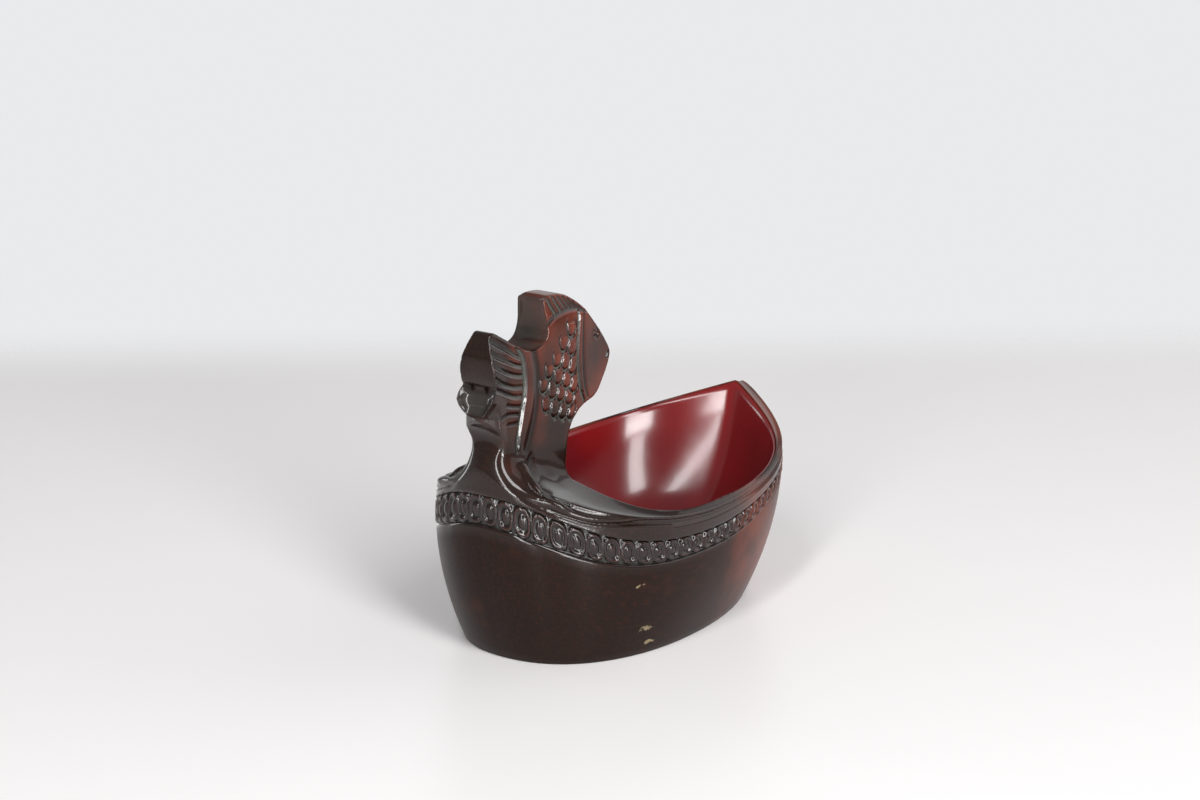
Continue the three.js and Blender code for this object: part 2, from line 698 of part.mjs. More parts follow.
// The coat is a thin skin: its outer face lies off the hollow by the gap, its inner face by gap and coat.
function liningGeometry() {
  const back = hollowRings(COAT_GAP, COAT_REVEAL).reverse();
  const face = hollowRings(COAT_GAP + COAT_THICKNESS, COAT_REVEAL);
  return geometryOf(solidOf(loft([...back, ...face])));
}

function namedMesh(name, geometry, material) {
  const mesh = new THREE.Mesh(geometry, material);
  mesh.name = name;
  return mesh;
}

const darkWood = new THREE.MeshStandardMaterial({ color: 0x3b211a, roughness: 0.35, metalness: 0 });
const fishWood = new THREE.MeshStandardMaterial({ color: 0x4a281e, roughness: 0.38, metalness: 0 });
const redLacquer = new THREE.MeshStandardMaterial({ color: 0x7c1016, roughness: 0.12, metalness: 0 });

const dish = new THREE.Group();
dish.name = "fish_dish";
dish.add(namedMesh("bowl_hull", bowlGeometry(), darkWood));
dish.add(namedMesh("fish_handle", fishGeometry(), fishWood));
dish.add(namedMesh("lacquer_lining", liningGeometry(), redLacquer));

export default dish;
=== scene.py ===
"""Looks of a carved wooden dish with a fish for its handle.

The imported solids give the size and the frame. Five dressed pieces stand for them: the bowl's wall with its
band of loops, its rim, its head with the neck, the carved fish, and the red lacquer in the hollow.
+X runs from the fish to the prow, and +Z is up. Sizes in the classes that build pieces are in millimetres,
and those of the finishes, the lamps and the camera in metres.
"""

import logging
import math
from dataclasses import dataclass
from enum import Enum
from functools import cached_property
from typing import Callable, Sequence

import bmesh
import bpy
import numpy as np
from mathutils import Matrix, Vector
from mathutils.bvhtree import BVHTree

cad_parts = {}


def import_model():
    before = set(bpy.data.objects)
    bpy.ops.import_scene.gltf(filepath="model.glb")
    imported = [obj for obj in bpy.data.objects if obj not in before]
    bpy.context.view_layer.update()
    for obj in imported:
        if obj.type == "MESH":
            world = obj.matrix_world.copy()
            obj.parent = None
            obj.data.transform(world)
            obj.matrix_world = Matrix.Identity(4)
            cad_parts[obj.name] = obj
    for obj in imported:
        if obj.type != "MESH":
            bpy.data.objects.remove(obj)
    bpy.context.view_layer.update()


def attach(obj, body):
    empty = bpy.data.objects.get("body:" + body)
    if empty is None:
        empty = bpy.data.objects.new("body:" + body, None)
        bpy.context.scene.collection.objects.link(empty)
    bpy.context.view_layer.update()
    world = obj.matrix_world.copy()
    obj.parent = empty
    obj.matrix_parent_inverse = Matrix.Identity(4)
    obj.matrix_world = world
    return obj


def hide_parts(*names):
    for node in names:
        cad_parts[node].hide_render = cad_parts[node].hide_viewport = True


MM = 0.001
ROOT = "root"
PATH_PIECES = 4
RULER_MARKS = 8001
MERGE_GAP = 0.0005

log = logging.getLogger("fish_dish")

Points = np.ndarray
Row = Callable[[np.ndarray], Points]
Pair = tuple[float, float]
Triple = tuple[float, float, float]
Colour = tuple[float, float, float, float]


class Note(Enum):
    """What a mesh keeps at each of its points, for the finish to read."""

    HOLLOW = "hollow"
    RUBBED = "rubbed"
    # Where the scooped end faces get a painted grey sheen and shade.
    SCOOP_SHEEN_SHADE = "scoop_sheen_shade"
    POLISHED = "polished"


def ease(value: np.ndarray, low: float, high: float) -> np.ndarray:
    """Smooth step from 0 at low to 1 at high, where high may be the smaller."""
    share = np.clip((value - low) / (high - low), 0.0, 1.0)
    return share * share * (3.0 - 2.0 * share)


def blend(low: np.ndarray, high: np.ndarray, share: np.ndarray) -> np.ndarray:
    """Straight blend of two values by a share."""
    return low + (high - low) * share


def soft_union(first: np.ndarray, second: np.ndarray, width: np.ndarray) -> tuple[np.ndarray, np.ndarray]:
    """Joins two signed distances with a fillet.

    Args:
        first: Signed distance to the first solid.
        second: Signed distance to the second solid.
        width: Width of the fillet.

    Returns:
        The joined distance and the first solid's share in it.
    """
    share = np.clip(0.5 + 0.5 * (second - first) / width, 0.0, 1.0)
    joined = blend(second, first, share) - width * share * (1.0 - share)
    return joined, share


def soft_cross(first: np.ndarray, second: np.ndarray, width: np.ndarray) -> np.ndarray:
    """Signed distance to what two solids share, with the edge between them rounded."""
    return -soft_union(-first, -second, width)[0]


def path_distance(points: Points, path: Sequence[Sequence[float]]) -> np.ndarray:
    """Distance from each point to a chain of straight pieces.

    Args:
        points: Places, one a row.
        path: Corners of the chain, in as many dimensions as the places.

    Returns:
        One distance a place.
    """
    corners = np.asarray(path, float)
    nearest = np.full(len(points), np.inf)
    for start, end in zip(corners[:-1], corners[1:]):
        along = end - start
        share = np.clip((points - start) @ along / (along @ along), 0.0, 1.0)
        gap = np.linalg.norm(points - (start + share[:, None] * along), axis=1)
        nearest = np.minimum(nearest, gap)
    return nearest


def smooth_path(path: Sequence[Sequence[float]], pieces: int = PATH_PIECES) -> Points:
    """A chain through the same corners, rounded with more corners between them.

    Args:
        path: Corners of the chain.
        pieces: New pieces for each old one.

    Returns:
        Corners of the rounded chain.
    """
    p = np.asarray(path, float)
    before = np.vstack([2 * p[0] - p[1], p[:-1]])
    after = np.vstack([p[1:], 2 * p[-1] - p[-2]])
    slope = (after - before) / 2
    t = np.linspace(0.0, 1.0, pieces, endpoint=False)[:, None]
    spans = [
        (2 * t**3 - 3 * t**2 + 1) * p[i]
        + (t**3 - 2 * t**2 + t) * slope[i]
        + (3 * t**2 - 2 * t**3) * p[i + 1]
        + (t**3 - t**2) * slope[i + 1]
        for i in range(len(p) - 1)
    ]
    return np.vstack([*spans, p[-1:]])


@dataclass(frozen=True)
class Oval:
    """A closed curve seen from above, pointed at the prow and squared at the stern."""

    prow_x: float
    beam_x: float
    stern_x: float
    half_width: float
    prow_fineness: float
    stern_squareness: float
    side_z: float = 0.0
    prow_rise: float = 0.0
    stern_rise: float = 0.0
    pinch_power: float = 8.0

    def trace(self, turn: np.ndarray) -> Points:
        """Points of the curve at shares of a turn.

        Args:
            turn: Shares of a turn, from the prow to the left side and on.

        Returns:
            One point a row.
        """
        along, across = np.cos(2 * np.pi * turn), np.sin(2 * np.pi * turn)
        forward = along >= 0
        power = 2 / self.stern_squareness
        reach = np.where(forward, along, np.abs(along) ** power)
        pinch = self.prow_fineness * np.maximum(along, 0.0) ** self.pinch_power
        breadth = np.where(forward, across * (1 - pinch), np.sign(across) * np.abs(across) ** power)
        end = np.where(forward, self.prow_x, self.stern_x)
        rise = np.where(forward, self.prow_rise, self.stern_rise) * (1 - np.abs(breadth))
        x = self.beam_x + (end - self.beam_x) * reach
        return np.stack([x, self.half_width * breadth, self.side_z + rise], axis=-1)

    @cached_property
    def _ruler(self) -> tuple[np.ndarray, np.ndarray]:
        """Shares of a turn, and the share of the curve's length at each."""
        turn = np.linspace(0.0, 1.0, RULER_MARKS)
        steps = np.linalg.norm(np.diff(self.trace(turn), axis=0), axis=1)
        length = np.concatenate([[0.0], np.cumsum(steps)])
        return turn, length / length[-1]

    def at(self, u: np.ndarray) -> Points:
        """Points at shares of the curve's length."""
        turn, length = self._ruler
        return self.trace(np.interp(np.mod(u, 1.0), length, turn))

    def outward(self, u: np.ndarray) -> Points:
        """Level unit normals that point out of the curve."""
        step = 0.0005
        along = self.at(u + step) - self.at(u - step)
        normal = np.stack([along[:, 1], -along[:, 0], np.zeros(len(u))], axis=-1)
        return normal / np.linalg.norm(normal, axis=1)[:, None]


@dataclass(frozen=True)
class BowlForm:
    """The bowl without its carving: foot, wall, rim and hollow."""

    foot: Oval = Oval(63.0, -8.0, -67.6, 40.5, 0.3, 2.25)
    rim: Oval = Oval(83.8, -7.0, -78.2, 50.0, 0.5, 2.05, 49.2, 16.5, 26.4)
    land_at_prow: float = 5.4
    land_at_side: float = 3.2
    land_at_stern: float = 37.0
    mouth_beam_x: float = 3.5
    mouth_step_up: float = 0.7
    mouth_fineness: float = 0.62
    mouth_squareness: float = 3.6
    mouth_rises: Pair = (17.0, 12.4)
    swell: Triple = (4.6, 2.6, 4.6)
    band_half_height: Triple = (2.3, 3.6, 5.7)
    band_side_z: float = 38.4
    band_prow_rise: float = 20.6
    band_stern_rise: float = 18.2
    band_powers: Pair = (0.75, 1.75)
    floor_thickness: float = 8.0
    hollow_squareness: float = 2.8
    hollow_lean: float = 0.12

    def mouth(self, inset: float, reveal: float) -> Oval:
        """The mouth's edge, drawn in by an inset and lowered by a reveal."""
        return Oval(
            self.rim.prow_x - self.land_at_prow - inset,
            self.mouth_beam_x,
            self.rim.stern_x + self.land_at_stern + inset,
            self.rim.half_width - self.land_at_side - inset,
            self.mouth_fineness,
            self.mouth_squareness,
            self.rim.side_z + self.mouth_step_up - reveal,
            *self.mouth_rises,
        )

    def breadth(self, u: np.ndarray) -> np.ndarray:
        """Share of the half width that the rim has: 1 at the sides, 0 at prow and stern."""
        return np.abs(self.rim.at(u)[:, 1]) / self.rim.half_width

    def round_blend(self, u: np.ndarray, sizes: Triple) -> np.ndarray:
        """A size that differs at prow, side and stern, blended round the bowl."""
        prow, side, stern = sizes
        end = np.where(nearer_prow(u), prow, stern)
        return blend(side, end, 1 - self.breadth(u) ** 3)

    def wall(self, u: np.ndarray, z: np.ndarray, out: np.ndarray | float = 0.0) -> Points:
        """Points on the outer wall.

        Args:
            u: Shares of the way round.
            z: Heights.
            out: How far the points stand out of the wall.

        Returns:
            One point a row.
        """
        low, high = self.foot.at(u), self.rim.at(u)
        share = z / high[:, 2]
        bulge = self.round_blend(u, self.swell) * 4 * share * (1 - share)
        place = blend(low, high, share[:, None])
        return place + self.foot.outward(u) * (bulge + out)[:, None]

    def band_centre(self, u: np.ndarray) -> np.ndarray:
        """Height of the middle of the band."""
        breadth = np.minimum(self.breadth(u), 1.0)
        at_prow, at_stern = self.band_powers
        prow = self.band_prow_rise * (1 - breadth) ** at_prow
        stern = self.band_stern_rise * (1 - breadth**2) ** at_stern
        return self.band_side_z + np.where(nearer_prow(u), prow, stern)

    def band_half(self, u: np.ndarray) -> np.ndarray:
        """Half the height of the band."""
        return self.round_blend(u, self.band_half_height)

    def hollow(self, u: np.ndarray, turn: float, inset: float, reveal: float) -> Points:
        """A ring of the hollow.

        Args:
            u: Shares of the way round.
            turn: Quarter turn from 0 at the mouth to 1 at the middle of the floor.
            inset: How far the ring is drawn in from the wood.
            reveal: How far the top ring lies under the mouth's edge.

        Returns:
            One point a row.
        """
        edge = self.mouth(inset, reveal).at(u)
        power = 2 / self.hollow_squareness
        drop = math.sin(turn * math.pi / 2) ** power
        width = max(math.cos(turn * math.pi / 2), 0.0) ** power * (1 - self.hollow_lean * drop)
        floor = self.floor_thickness + inset
        x = self.mouth_beam_x + (edge[:, 0] - self.mouth_beam_x) * width
        return np.stack([x, edge[:, 1] * width, edge[:, 2] - (edge[:, 2] - floor) * drop], axis=-1)

    def hollow_row(self, turn: float, inset: float = 0.0, reveal: float = 0.0) -> Row:
        """A ring of the hollow as a row of a skin."""
        return lambda u: self.hollow(u, turn, inset, reveal)

    def band_row(self, side: int, above: float, out: float) -> Row:
        """A row beside the band's foot, where side is -1, or its head, where it is 1."""
        return lambda u: self.wall(u, self.band_centre(u) + side * self.band_half(u) + above, out)


def nearer_prow(u: np.ndarray) -> np.ndarray:
    """Whether places lie on the prow's half of the bowl."""
    return (u < 0.25) | (u > 0.75)


def sleeve(columns: int, rows: Sequence[Row]) -> bmesh.types.BMesh:
    """A closed skin from rows of points that each run once round the bowl.

    A circle is extruded once for each row, and each row is then laid in its place.

    Args:
        columns: Faces round the bowl.
        rows: Functions from shares of the way round to points in millimetres.

    Returns:
        The mesh, in millimetres, with its doubled points merged.
    """
    bm = bmesh.new()
    bmesh.ops.create_circle(bm, segments=columns, radius=1.0, cap_ends=False)
    edge = list(bm.edges)
    for _ in rows[1:]:
        made = bmesh.ops.extrude_edge_only(bm, edges=edge)["geom"]
        bmesh.ops.translate(bm, verts=[g for g in made if isinstance(g, bmesh.types.BMVert)], vec=(0, 0, 1))
        edge = [g for g in made if isinstance(g, bmesh.types.BMEdge)]
    verts = list(bm.verts)
    place = np.array([v.co for v in verts])
    turn = np.mod(np.arctan2(place[:, 1], place[:, 0]) / (2 * np.pi), 1.0)
    level = np.rint(place[:, 2]).astype(int)
    for number, row in enumerate(rows):
        chosen = np.flatnonzero(level == number)
        place[chosen] = row(turn[chosen])
    for vert, point in zip(verts, place):
        vert.co = point
    bmesh.ops.remove_doubles(bm, verts=list(bm.verts), dist=MERGE_GAP)
    bmesh.ops.recalc_face_normals(bm, faces=list(bm.faces))
    return bm


def finished(bm: bmesh.types.BMesh, name: str) -> bpy.types.Object:
    """Turns a mesh in millimetres into a smooth object in metres, at the origin."""
    bmesh.ops.scale(bm, vec=(MM, MM, MM), verts=list(bm.verts))
    for face in bm.faces:
        face.smooth = True
    return placed(bm, name)


def vectors_of(mesh: bpy.types.Mesh, kind: str) -> Points:
    """A vector at each of a mesh's points, such as its normal."""
    flat = np.empty(len(mesh.vertices) * 3, np.float32)
    mesh.vertices.foreach_get(kind, flat)
    return flat.reshape(-1, 3)


def places_of(mesh: bpy.types.Mesh) -> Points:
    """Places of a mesh's points, in millimetres."""
    return vectors_of(mesh, "co").astype(float) / MM


def upright(height: np.ndarray) -> Points:
    """Vectors that point straight up by the given heights."""
    return np.stack([0 * height, 0 * height, height], axis=-1)


def lay_places(mesh: bpy.types.Mesh, places: Points) -> None:
    """Puts a mesh's points at places in millimetres."""
    mesh.vertices.foreach_set("co", (places * MM).astype(np.float32).ravel())
    mesh.update()


def note(mesh: bpy.types.Mesh, kind: Note, values: np.ndarray) -> None:
    """Keeps one number a point on a mesh, for its finish to read."""
    kept = mesh.attributes.new(kind.value, "FLOAT", "POINT")
    kept.data.foreach_set("value", values.astype(np.float32))


def dress(piece: bpy.types.Object, finish: bpy.types.Material, slot: str, *nodes: str) -> None:
    """Gives a piece its finish and its place on the body, and hides the solids that it stands for."""
    piece.data.materials.append(finish)
    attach(piece, ROOT)
    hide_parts(*nodes)
    log.info("%s: %d faces", piece.name, len(piece.data.polygons))


@dataclass(frozen=True)
class LoopBand:
    """The band of carved loops, each a raised ring round a lens, in a channel under the rim."""

    form: BowlForm
    loops: int = 66
    loop_columns: int = 15
    rows: int = 21
    length: float = 400.0
    margin: float = 0.35
    reach: float = 0.98
    loop_half_width: float = 2.85
    wobble: float = 0.05
    wobble_step: float = 2.4
    squareness: float = 2.7
    ring_radii: tuple[float, ...] = (0.0, 0.28, 0.46, 0.58, 0.70, 0.82, 0.91, 1.0, 1.12)
    ring_heights: tuple[float, ...] = (0.05, -0.05, -0.5, -0.8, -0.3, 0.22, 0.12, -0.55, -1.15)

    @property
    def columns(self) -> int:
        """Faces round the bowl."""
        return self.loops * self.loop_columns

    def relief(self, u: np.ndarray, height: float) -> np.ndarray:
        """How far the carving stands out of the wall.

        Args:
            u: Shares of the way round.
            height: From -1 at the band's foot to 1 at its head.

        Returns:
            Millimetres, negative where the carving is cut in.
        """
        across = (np.mod(u * self.loops, 1.0) - 0.5) * (self.length / self.loops)
        wobble = self.wobble * np.sin(np.floor(u * self.loops) * self.wobble_step)
        x = np.abs(across) / (self.loop_half_width * (1 + wobble))
        z = abs(height) / self.reach
        radius = (x**self.squareness + z**self.squareness) ** (1 / self.squareness)
        return np.interp(radius, self.ring_radii, self.ring_heights)

    def row(self, height: float) -> Row:
        """One row of the band."""

        def place(u: np.ndarray) -> Points:
            """The row's points."""
            z = self.form.band_centre(u) + (self.form.band_half(u) - self.margin) * height
            return self.form.wall(u, z, self.relief(u, height))

        return place


@dataclass(frozen=True)
class BowlWall:
    """The bowl's outside from the foot up to the band, closed behind the lacquer."""

    form: BowlForm
    band: LoopBand
    wall_rows: int = 14
    lowest_share: float = 0.012
    hollow_rows: int = 12
    hollow_from: float = 0.3
    back_inset: float = -1.2
    lip_drop: float = 1.5
    foot_centre: Triple = (-4.0, 0.0, 0.0)
    foot_section: tuple[Pair, ...] = ((0.0, 0.0), (0.6, 0.0), (0.985, 0.0), (0.997, 0.12))
    lip_section: tuple[Pair, ...] = (
        (-1.1, -0.03), (-0.75, -0.1), (-0.45, -0.24), (-0.2, -0.45), (0.0, -0.75), (0.15, -1.15),
    )
    tuck_section: tuple[Pair, ...] = ((-0.2, -1.15), (0.6, -1.7))
    carved_level: float = 1.06
    polished_levels: Pair = (1.5, 1.0)
    full_cut: float = 0.9
    full_rub: float = 0.2
    ladder_rungs: int = 2001
    slab: int = 2
    ladder_top: int = 70
    plain_top: float = 60.0

    def rows(self) -> list[Row]:
        """Rows of the skin, from under the foot up the wall and down into the hollow."""
        form, band = self.form, self.band
        centre = np.array(self.foot_centre)

        def underside(share: float, z: float) -> Row:
            """A row under the foot."""
            return lambda u: centre + (form.foot.at(u) - centre) * share + np.array([0, 0, z])

        def wall(share: float) -> Row:
            """A row of the plain wall."""
            return lambda u: form.wall(u, (form.band_centre(u) - form.band_half(u) - self.lip_drop) * share)

        turns = np.linspace(self.hollow_from, 1.0, self.hollow_rows)
        return [
            *[underside(share, z) for share, z in self.foot_section],
            *[wall(share) for share in np.linspace(self.lowest_share, 1.0, self.wall_rows)],
            *[form.band_row(-1, above, out) for above, out in self.lip_section],
            *[band.row(height) for height in np.linspace(-1.0, 1.0, band.rows)],
            *[form.band_row(1, above, out) for above, out in self.tuck_section],
            *[form.hollow_row(turn, self.back_inset) for turn in turns],
        ]

    def build(self) -> bpy.types.Object:
        """Makes the wall, and notes where its carving is cut in or stands out."""
        piece = finished(sleeve(self.band.columns, self.rows()), "bowl_wall")
        places, form = places_of(piece.data), self.form
        places[:, 1] = np.clip(places[:, 1], -form.rim.half_width, form.rim.half_width)
        lay_places(piece.data, places)
        u = self.nearest_turn(places)
        level = np.abs((places[:, 2] - form.band_centre(u)) / form.band_half(u))
        cut = np.where(level < self.carved_level, -self.stand_out(places, u), 0.0)
        # Depth of the cuts, which the finish darkens with painted shade and fills with wax.
        note(piece.data, Note.HOLLOW, np.clip(cut / self.full_cut, 0.0, 1.0))
        note(piece.data, Note.RUBBED, np.clip(-cut / self.full_rub, 0.0, 1.0))
        note(piece.data, Note.POLISHED, ease(level, *self.polished_levels))
        return piece

    def nearest_turn(self, places: Points) -> np.ndarray:
        """Share of the way round whose wall lies nearest to each point, found slab by slab."""
        ladder = np.linspace(0.0, 1.0, self.ladder_rungs)
        best = np.zeros(len(places))
        for low in range(0, self.ladder_top, self.slab):
            chosen = np.flatnonzero((places[:, 2] >= low) & (places[:, 2] < low + self.slab))
            if not len(chosen):
                continue
            ring = self.form.wall(ladder, np.full(len(ladder), low + self.slab / 2))[:, :2]
            angles = np.unwrap(np.arctan2(ring[:, 1], ring[:, 0]))
            own = np.mod(np.arctan2(places[chosen, 1], places[chosen, 0]), 2 * np.pi)
            best[chosen] = np.interp(own, angles, ladder)
        return best

    def stand_out(self, places: Points, u: np.ndarray) -> np.ndarray:
        """How far points stand out of the plain wall."""
        plain = self.form.wall(u, np.clip(places[:, 2], 0.0, self.plain_top))
        return ((places - plain) * self.form.foot.outward(u)).sum(axis=1)


@dataclass(frozen=True)
class RimForm:
    """Section of the bowl's head: strip, cove, bead and land, which spread apart towards the fish."""

    form: BowlForm
    plain: tuple[Pair, ...] = (
        (0.9, -2.5), (0.75, -1.7), (0.5, -1.1), (0.2, -0.7), (0.0, -0.45), (0.02, -0.3),
        (0.06, -0.2), (0.12, -0.1), (0.25, -0.03), (0.5, 0.0), (0.9, 0.0),
    )
    beaded: tuple[Pair, ...] = (
        (0.8, -5.4), (0.05, -4.9), (-0.45, -4.2), (-0.5, -3.5), (-0.25, -2.85), (0.4, -2.45),
        (1.3, -2.8), (2.1, -3.1), (2.6, -2.2), (2.75, -0.8), (3.4, -0.35),
    )
    shoulder: tuple[Pair, ...] = (
        (0.05, -6.0), (0.25, -5.2), (0.6, -4.4), (1.05, -3.7), (1.6, -3.1), (2.2, -2.6),
        (2.9, -2.2), (3.7, -1.9), (4.6, -1.7), (5.7, -1.6), (7.0, -1.6),
    )
    strip_top: Triple = (-3.2, -5.6, -6.6)
    strip_shares: tuple[float, ...] = (0.0, 0.33, 0.66, 1.0)
    strip_foot: float = 0.25
    strip_least: float = 0.3
    strip_dip: float = 0.5
    channel_section: tuple[Pair, ...] = ((-0.25, -1.6), (-0.2, -0.5), (-0.05, -0.1))
    split_span: Pair = (0.085, 0.15)
    shoulder_span: Pair = (0.03, 0.062)
    land_rows: int = 12
    land_sag: float = 0.07
    land_sag_limit: float = 1.3
    mouth_turns: tuple[float, ...] = (0.0, 0.002, 0.007, 0.015, 0.025, 0.036, 0.048)

    def split(self, u: np.ndarray) -> np.ndarray:
        """How far the bead has parted from the edge of the land: 0 along the sides, 1 by the fish."""
        return 1 - ease(np.abs(u - 0.5), *self.split_span)

    def shouldered(self, u: np.ndarray) -> np.ndarray:
        """How far the rim has run out into the plain shoulder behind the fish."""
        return 1 - ease(np.abs(u - 0.5), *self.shoulder_span)

    def edge(self, number: int) -> Row:
        """One row of the moulded edge."""

        def place(u: np.ndarray) -> Points:
            """The row's points."""
            parted, plain = self.split(u)[:, None], self.shouldered(u)[:, None]
            step = blend(np.array(self.plain[number]), np.array(self.beaded[number]), parted)
            rim = self.form.rim.at(u)
            moulded = rim - self.form.rim.outward(u) * step[:, :1] + upright(step[:, 1])
            inset, drop = self.shoulder[number]
            rounded = self.form.wall(u, rim[:, 2] + drop, -inset)
            return blend(moulded, rounded, plain)

        return place

    def land(self, share: float) -> Row:
        """One row of the land between the moulded edge and the mouth."""

        def place(u: np.ndarray) -> Points:
            """The row's points."""
            outer = self.edge(len(self.plain) - 1)(u)
            inner = self.form.mouth(0.0, 0.0).at(u)
            width = np.linalg.norm(inner - outer, axis=1)
            dip = np.minimum(self.land_sag * width, self.land_sag_limit) * 4 * share * (1 - share)
            return blend(outer, inner, share) - upright(dip)

        return place

    def strip(self, share: float) -> Row:
        """One row of the strip between the band and the moulded edge."""

        def place(u: np.ndarray) -> Points:
            """The row's points."""
            form = self.form
            low = form.band_centre(u) + form.band_half(u) + self.strip_foot
            plain, beaded, shoulder = self.strip_top
            top = blend(blend(plain, beaded, self.split(u)), shoulder, self.shouldered(u))
            high = np.maximum(form.rim.at(u)[:, 2] + top, low + self.strip_least)
            return form.wall(u, low + (high - low) * share, -self.strip_dip * share * (1 - share))

        return place

    def rows(self) -> list[Row]:
        """Rows of the head's closed section, from inside the channel up, over and down the hollow."""
        form = self.form
        shares = (np.arange(self.land_rows) + 1) / (self.land_rows + 1)
        return [
            *[form.band_row(1, above, out) for above, out in self.channel_section],
            *[self.strip(share) for share in self.strip_shares],
            *[self.edge(number) for number in range(len(self.plain))],
            *[self.land(share) for share in shares],
            *[form.hollow_row(turn) for turn in self.mouth_turns],
            form.band_row(1, *self.channel_section[0]),
        ]


@dataclass(frozen=True)
class FishForm:
    """The fish as a rounded plank: its side view, and how thick it is left at each place."""

    seat_z: float = 76.0
    neck_thickness: float = 14.8
    neck_drop: float = 21.0
    neck_flare: float = 13.0
    root_top: float = 82.0
    root_round: float = 16.0
    edge_round: float = 1.5
    end_round: float = 0.8
    grid_step: float = 0.25
    grid_margin: float = 8.0
    dice: float = 2.4
    dice_start: float = 0.7
    slope_step: float = 0.12
    nose: Triple = (-38.0, -9.0, 9.6)
    crest: Triple = (109.4, 125.3, 11.4)
    fin_back_x: float = -53.4
    tip: Triple = (103.0, 119.5, 7.0)
    tip_x: Pair = (-63.0, -79.0)
    tip_power: float = 1.6
    lobe: Triple = (-77.2, -82.0, 2.0)
    lobe_foot_z: float = 89.3
    lobe_rise: float = 6.0
    lobe_head_z: float = 100.0
    flare_x: Pair = (-54.0, -70.0)
    root_x: Pair = (-52.0, -68.0)
    end_x: Pair = (-77.5, -73.0)
    scoops: tuple[tuple[float, tuple[Pair, ...], tuple[Pair, ...]], ...] = (
        (1.3, ((-47.5, -50.0), (-60.0, -53.0)), ((108.0, 112.0),)),
        (1.7, ((-67.0, -61.0), (-51.0, -55.0)), ((113.5, 110.5),)),
        (3.0, ((-74.0, -78.0),), ((89.4, 92.6), (99.8, 98.0))),
    )
    corner_side_view: tuple[Pair, ...] = (
        (-43.5, 56.0), (-41.7, 60.5), (-40.6, 64.0), (-39.8, 68.5), (-38.9, 73.5), (-37.3, 77.5),
        (-34.7, 80.1), (-32.0, 82.0), (-27.6, 83.2), (-22.0, 84.0), (-18.9, 85.4), (-16.9, 87.3),
        (-14.8, 89.6), (-12.6, 92.4), (-11.0, 95.2), (-10.2, 97.4), (-11.0, 99.7), (-12.9, 102.4),
        (-15.2, 105.2), (-18.2, 108.4), (-21.6, 111.7),
        (-25.4, 115.2), (-29.0, 118.3), (-33.2, 121.3), (-38.5, 124.0), (-43.5, 125.1), (-49.6, 125.2),
        (-51.3, 124.3), (-51.2, 121.2), (-50.4, 116.4), (-50.7, 112.9), (-52.4, 110.6), (-55.8, 109.5),
        (-60.0, 109.5), (-64.0, 110.7), (-68.2, 112.7), (-72.4, 115.6), (-75.4, 117.6), (-77.2, 117.9),
        (-78.8, 116.6), (-80.2, 113.0), (-80.9, 108.6), (-80.8, 104.0), (-80.0, 100.9), (-79.4, 99.6),
        (-81.4, 98.2), (-83.0, 95.6), (-83.5, 93.0), (-82.6, 90.0), (-80.4, 87.2), (-77.8, 84.4), (-76.3, 81.6),
        (-76.1, 78.6), (-76.7, 75.4), (-77.0, 72.0), (-76.0, 67.0), (-73.0, 60.5), (-66.0, 56.0),
    )

    @cached_property
    def outline(self) -> Points:
        """The side view's outline, rounded between its corners."""
        corners = np.array(self.corner_side_view)
        closed = np.vstack([corners[-2:], corners, corners[:3]])
        fine = smooth_path(closed)
        return fine[2 * PATH_PIECES : (2 + len(corners)) * PATH_PIECES]

    @cached_property
    def _chart(self) -> tuple[np.ndarray, np.ndarray, np.ndarray]:
        """Signed distance to the outline over a square net: its x, its z and the distances."""
        ring = self.outline
        low_x, low_z = ring.min(axis=0) - self.grid_margin
        high_x, high_z = ring.max(axis=0) + self.grid_margin
        x = np.arange(low_x, high_x, self.grid_step)
        z = np.arange(low_z, high_z, self.grid_step)
        net = np.stack(np.meshgrid(x, z, indexing="ij"), axis=-1).reshape(-1, 2)
        inside = np.zeros(len(net), bool)
        ends = np.roll(ring, -1, axis=0)
        for (x0, z0), (x1, z1) in zip(ring, ends):
            crosses = (z0 > net[:, 1]) != (z1 > net[:, 1])
            if z0 != z1:
                inside ^= crosses & (net[:, 0] < x0 + (net[:, 1] - z0) * (x1 - x0) / (z1 - z0))
        gap = path_distance(net, np.vstack([ring, ring[:1]]))
        return x, z, np.where(inside, -gap, gap).reshape(len(x), len(z))

    def outline_distance(self, x: np.ndarray, z: np.ndarray) -> np.ndarray:
        """Signed distance to the outline in the side view."""
        xs, zs, chart = self._chart
        i = np.clip((x - xs[0]) / self.grid_step, 0, len(xs) - 1.001)
        k = np.clip((z - zs[0]) / self.grid_step, 0, len(zs) - 1.001)
        a, b = i.astype(int), k.astype(int)
        p, q = i - a, k - b
        low = chart[a, b] * (1 - p) + chart[a + 1, b] * p
        high = chart[a, b + 1] * (1 - p) + chart[a + 1, b + 1] * p
        return low * (1 - q) + high * q

    def thickness(self, x: np.ndarray, z: np.ndarray) -> np.ndarray:
        """Thickness of the plank, which narrows to nose, crest, tail tip and lobe.

        Args:
            x: Places along the side view.
            z: Their heights.

        Returns:
            Millimetres from face to face.
        """
        full = self.neck_thickness
        at_nose = ease(x, *self.nose[:2]) * (full - self.nose[2])
        at_crest = np.where(x > self.fin_back_x, ease(z, *self.crest[:2]), 0.0) * (full - self.crest[2])
        at_tip = ease(x, *self.tip_x) * ease(z, *self.tip[:2]) ** self.tip_power * (full - self.tip[2])
        lobe = np.sqrt(np.clip((z - self.lobe_foot_z) / self.lobe_rise, 0.0, 1.0))
        at_lobe = ease(x, *self.lobe[:2]) * (1 - lobe) * (full - self.lobe[2]) * (z < self.lobe_head_z)
        return full - np.maximum.reduce([at_nose, at_crest, at_tip, at_lobe])

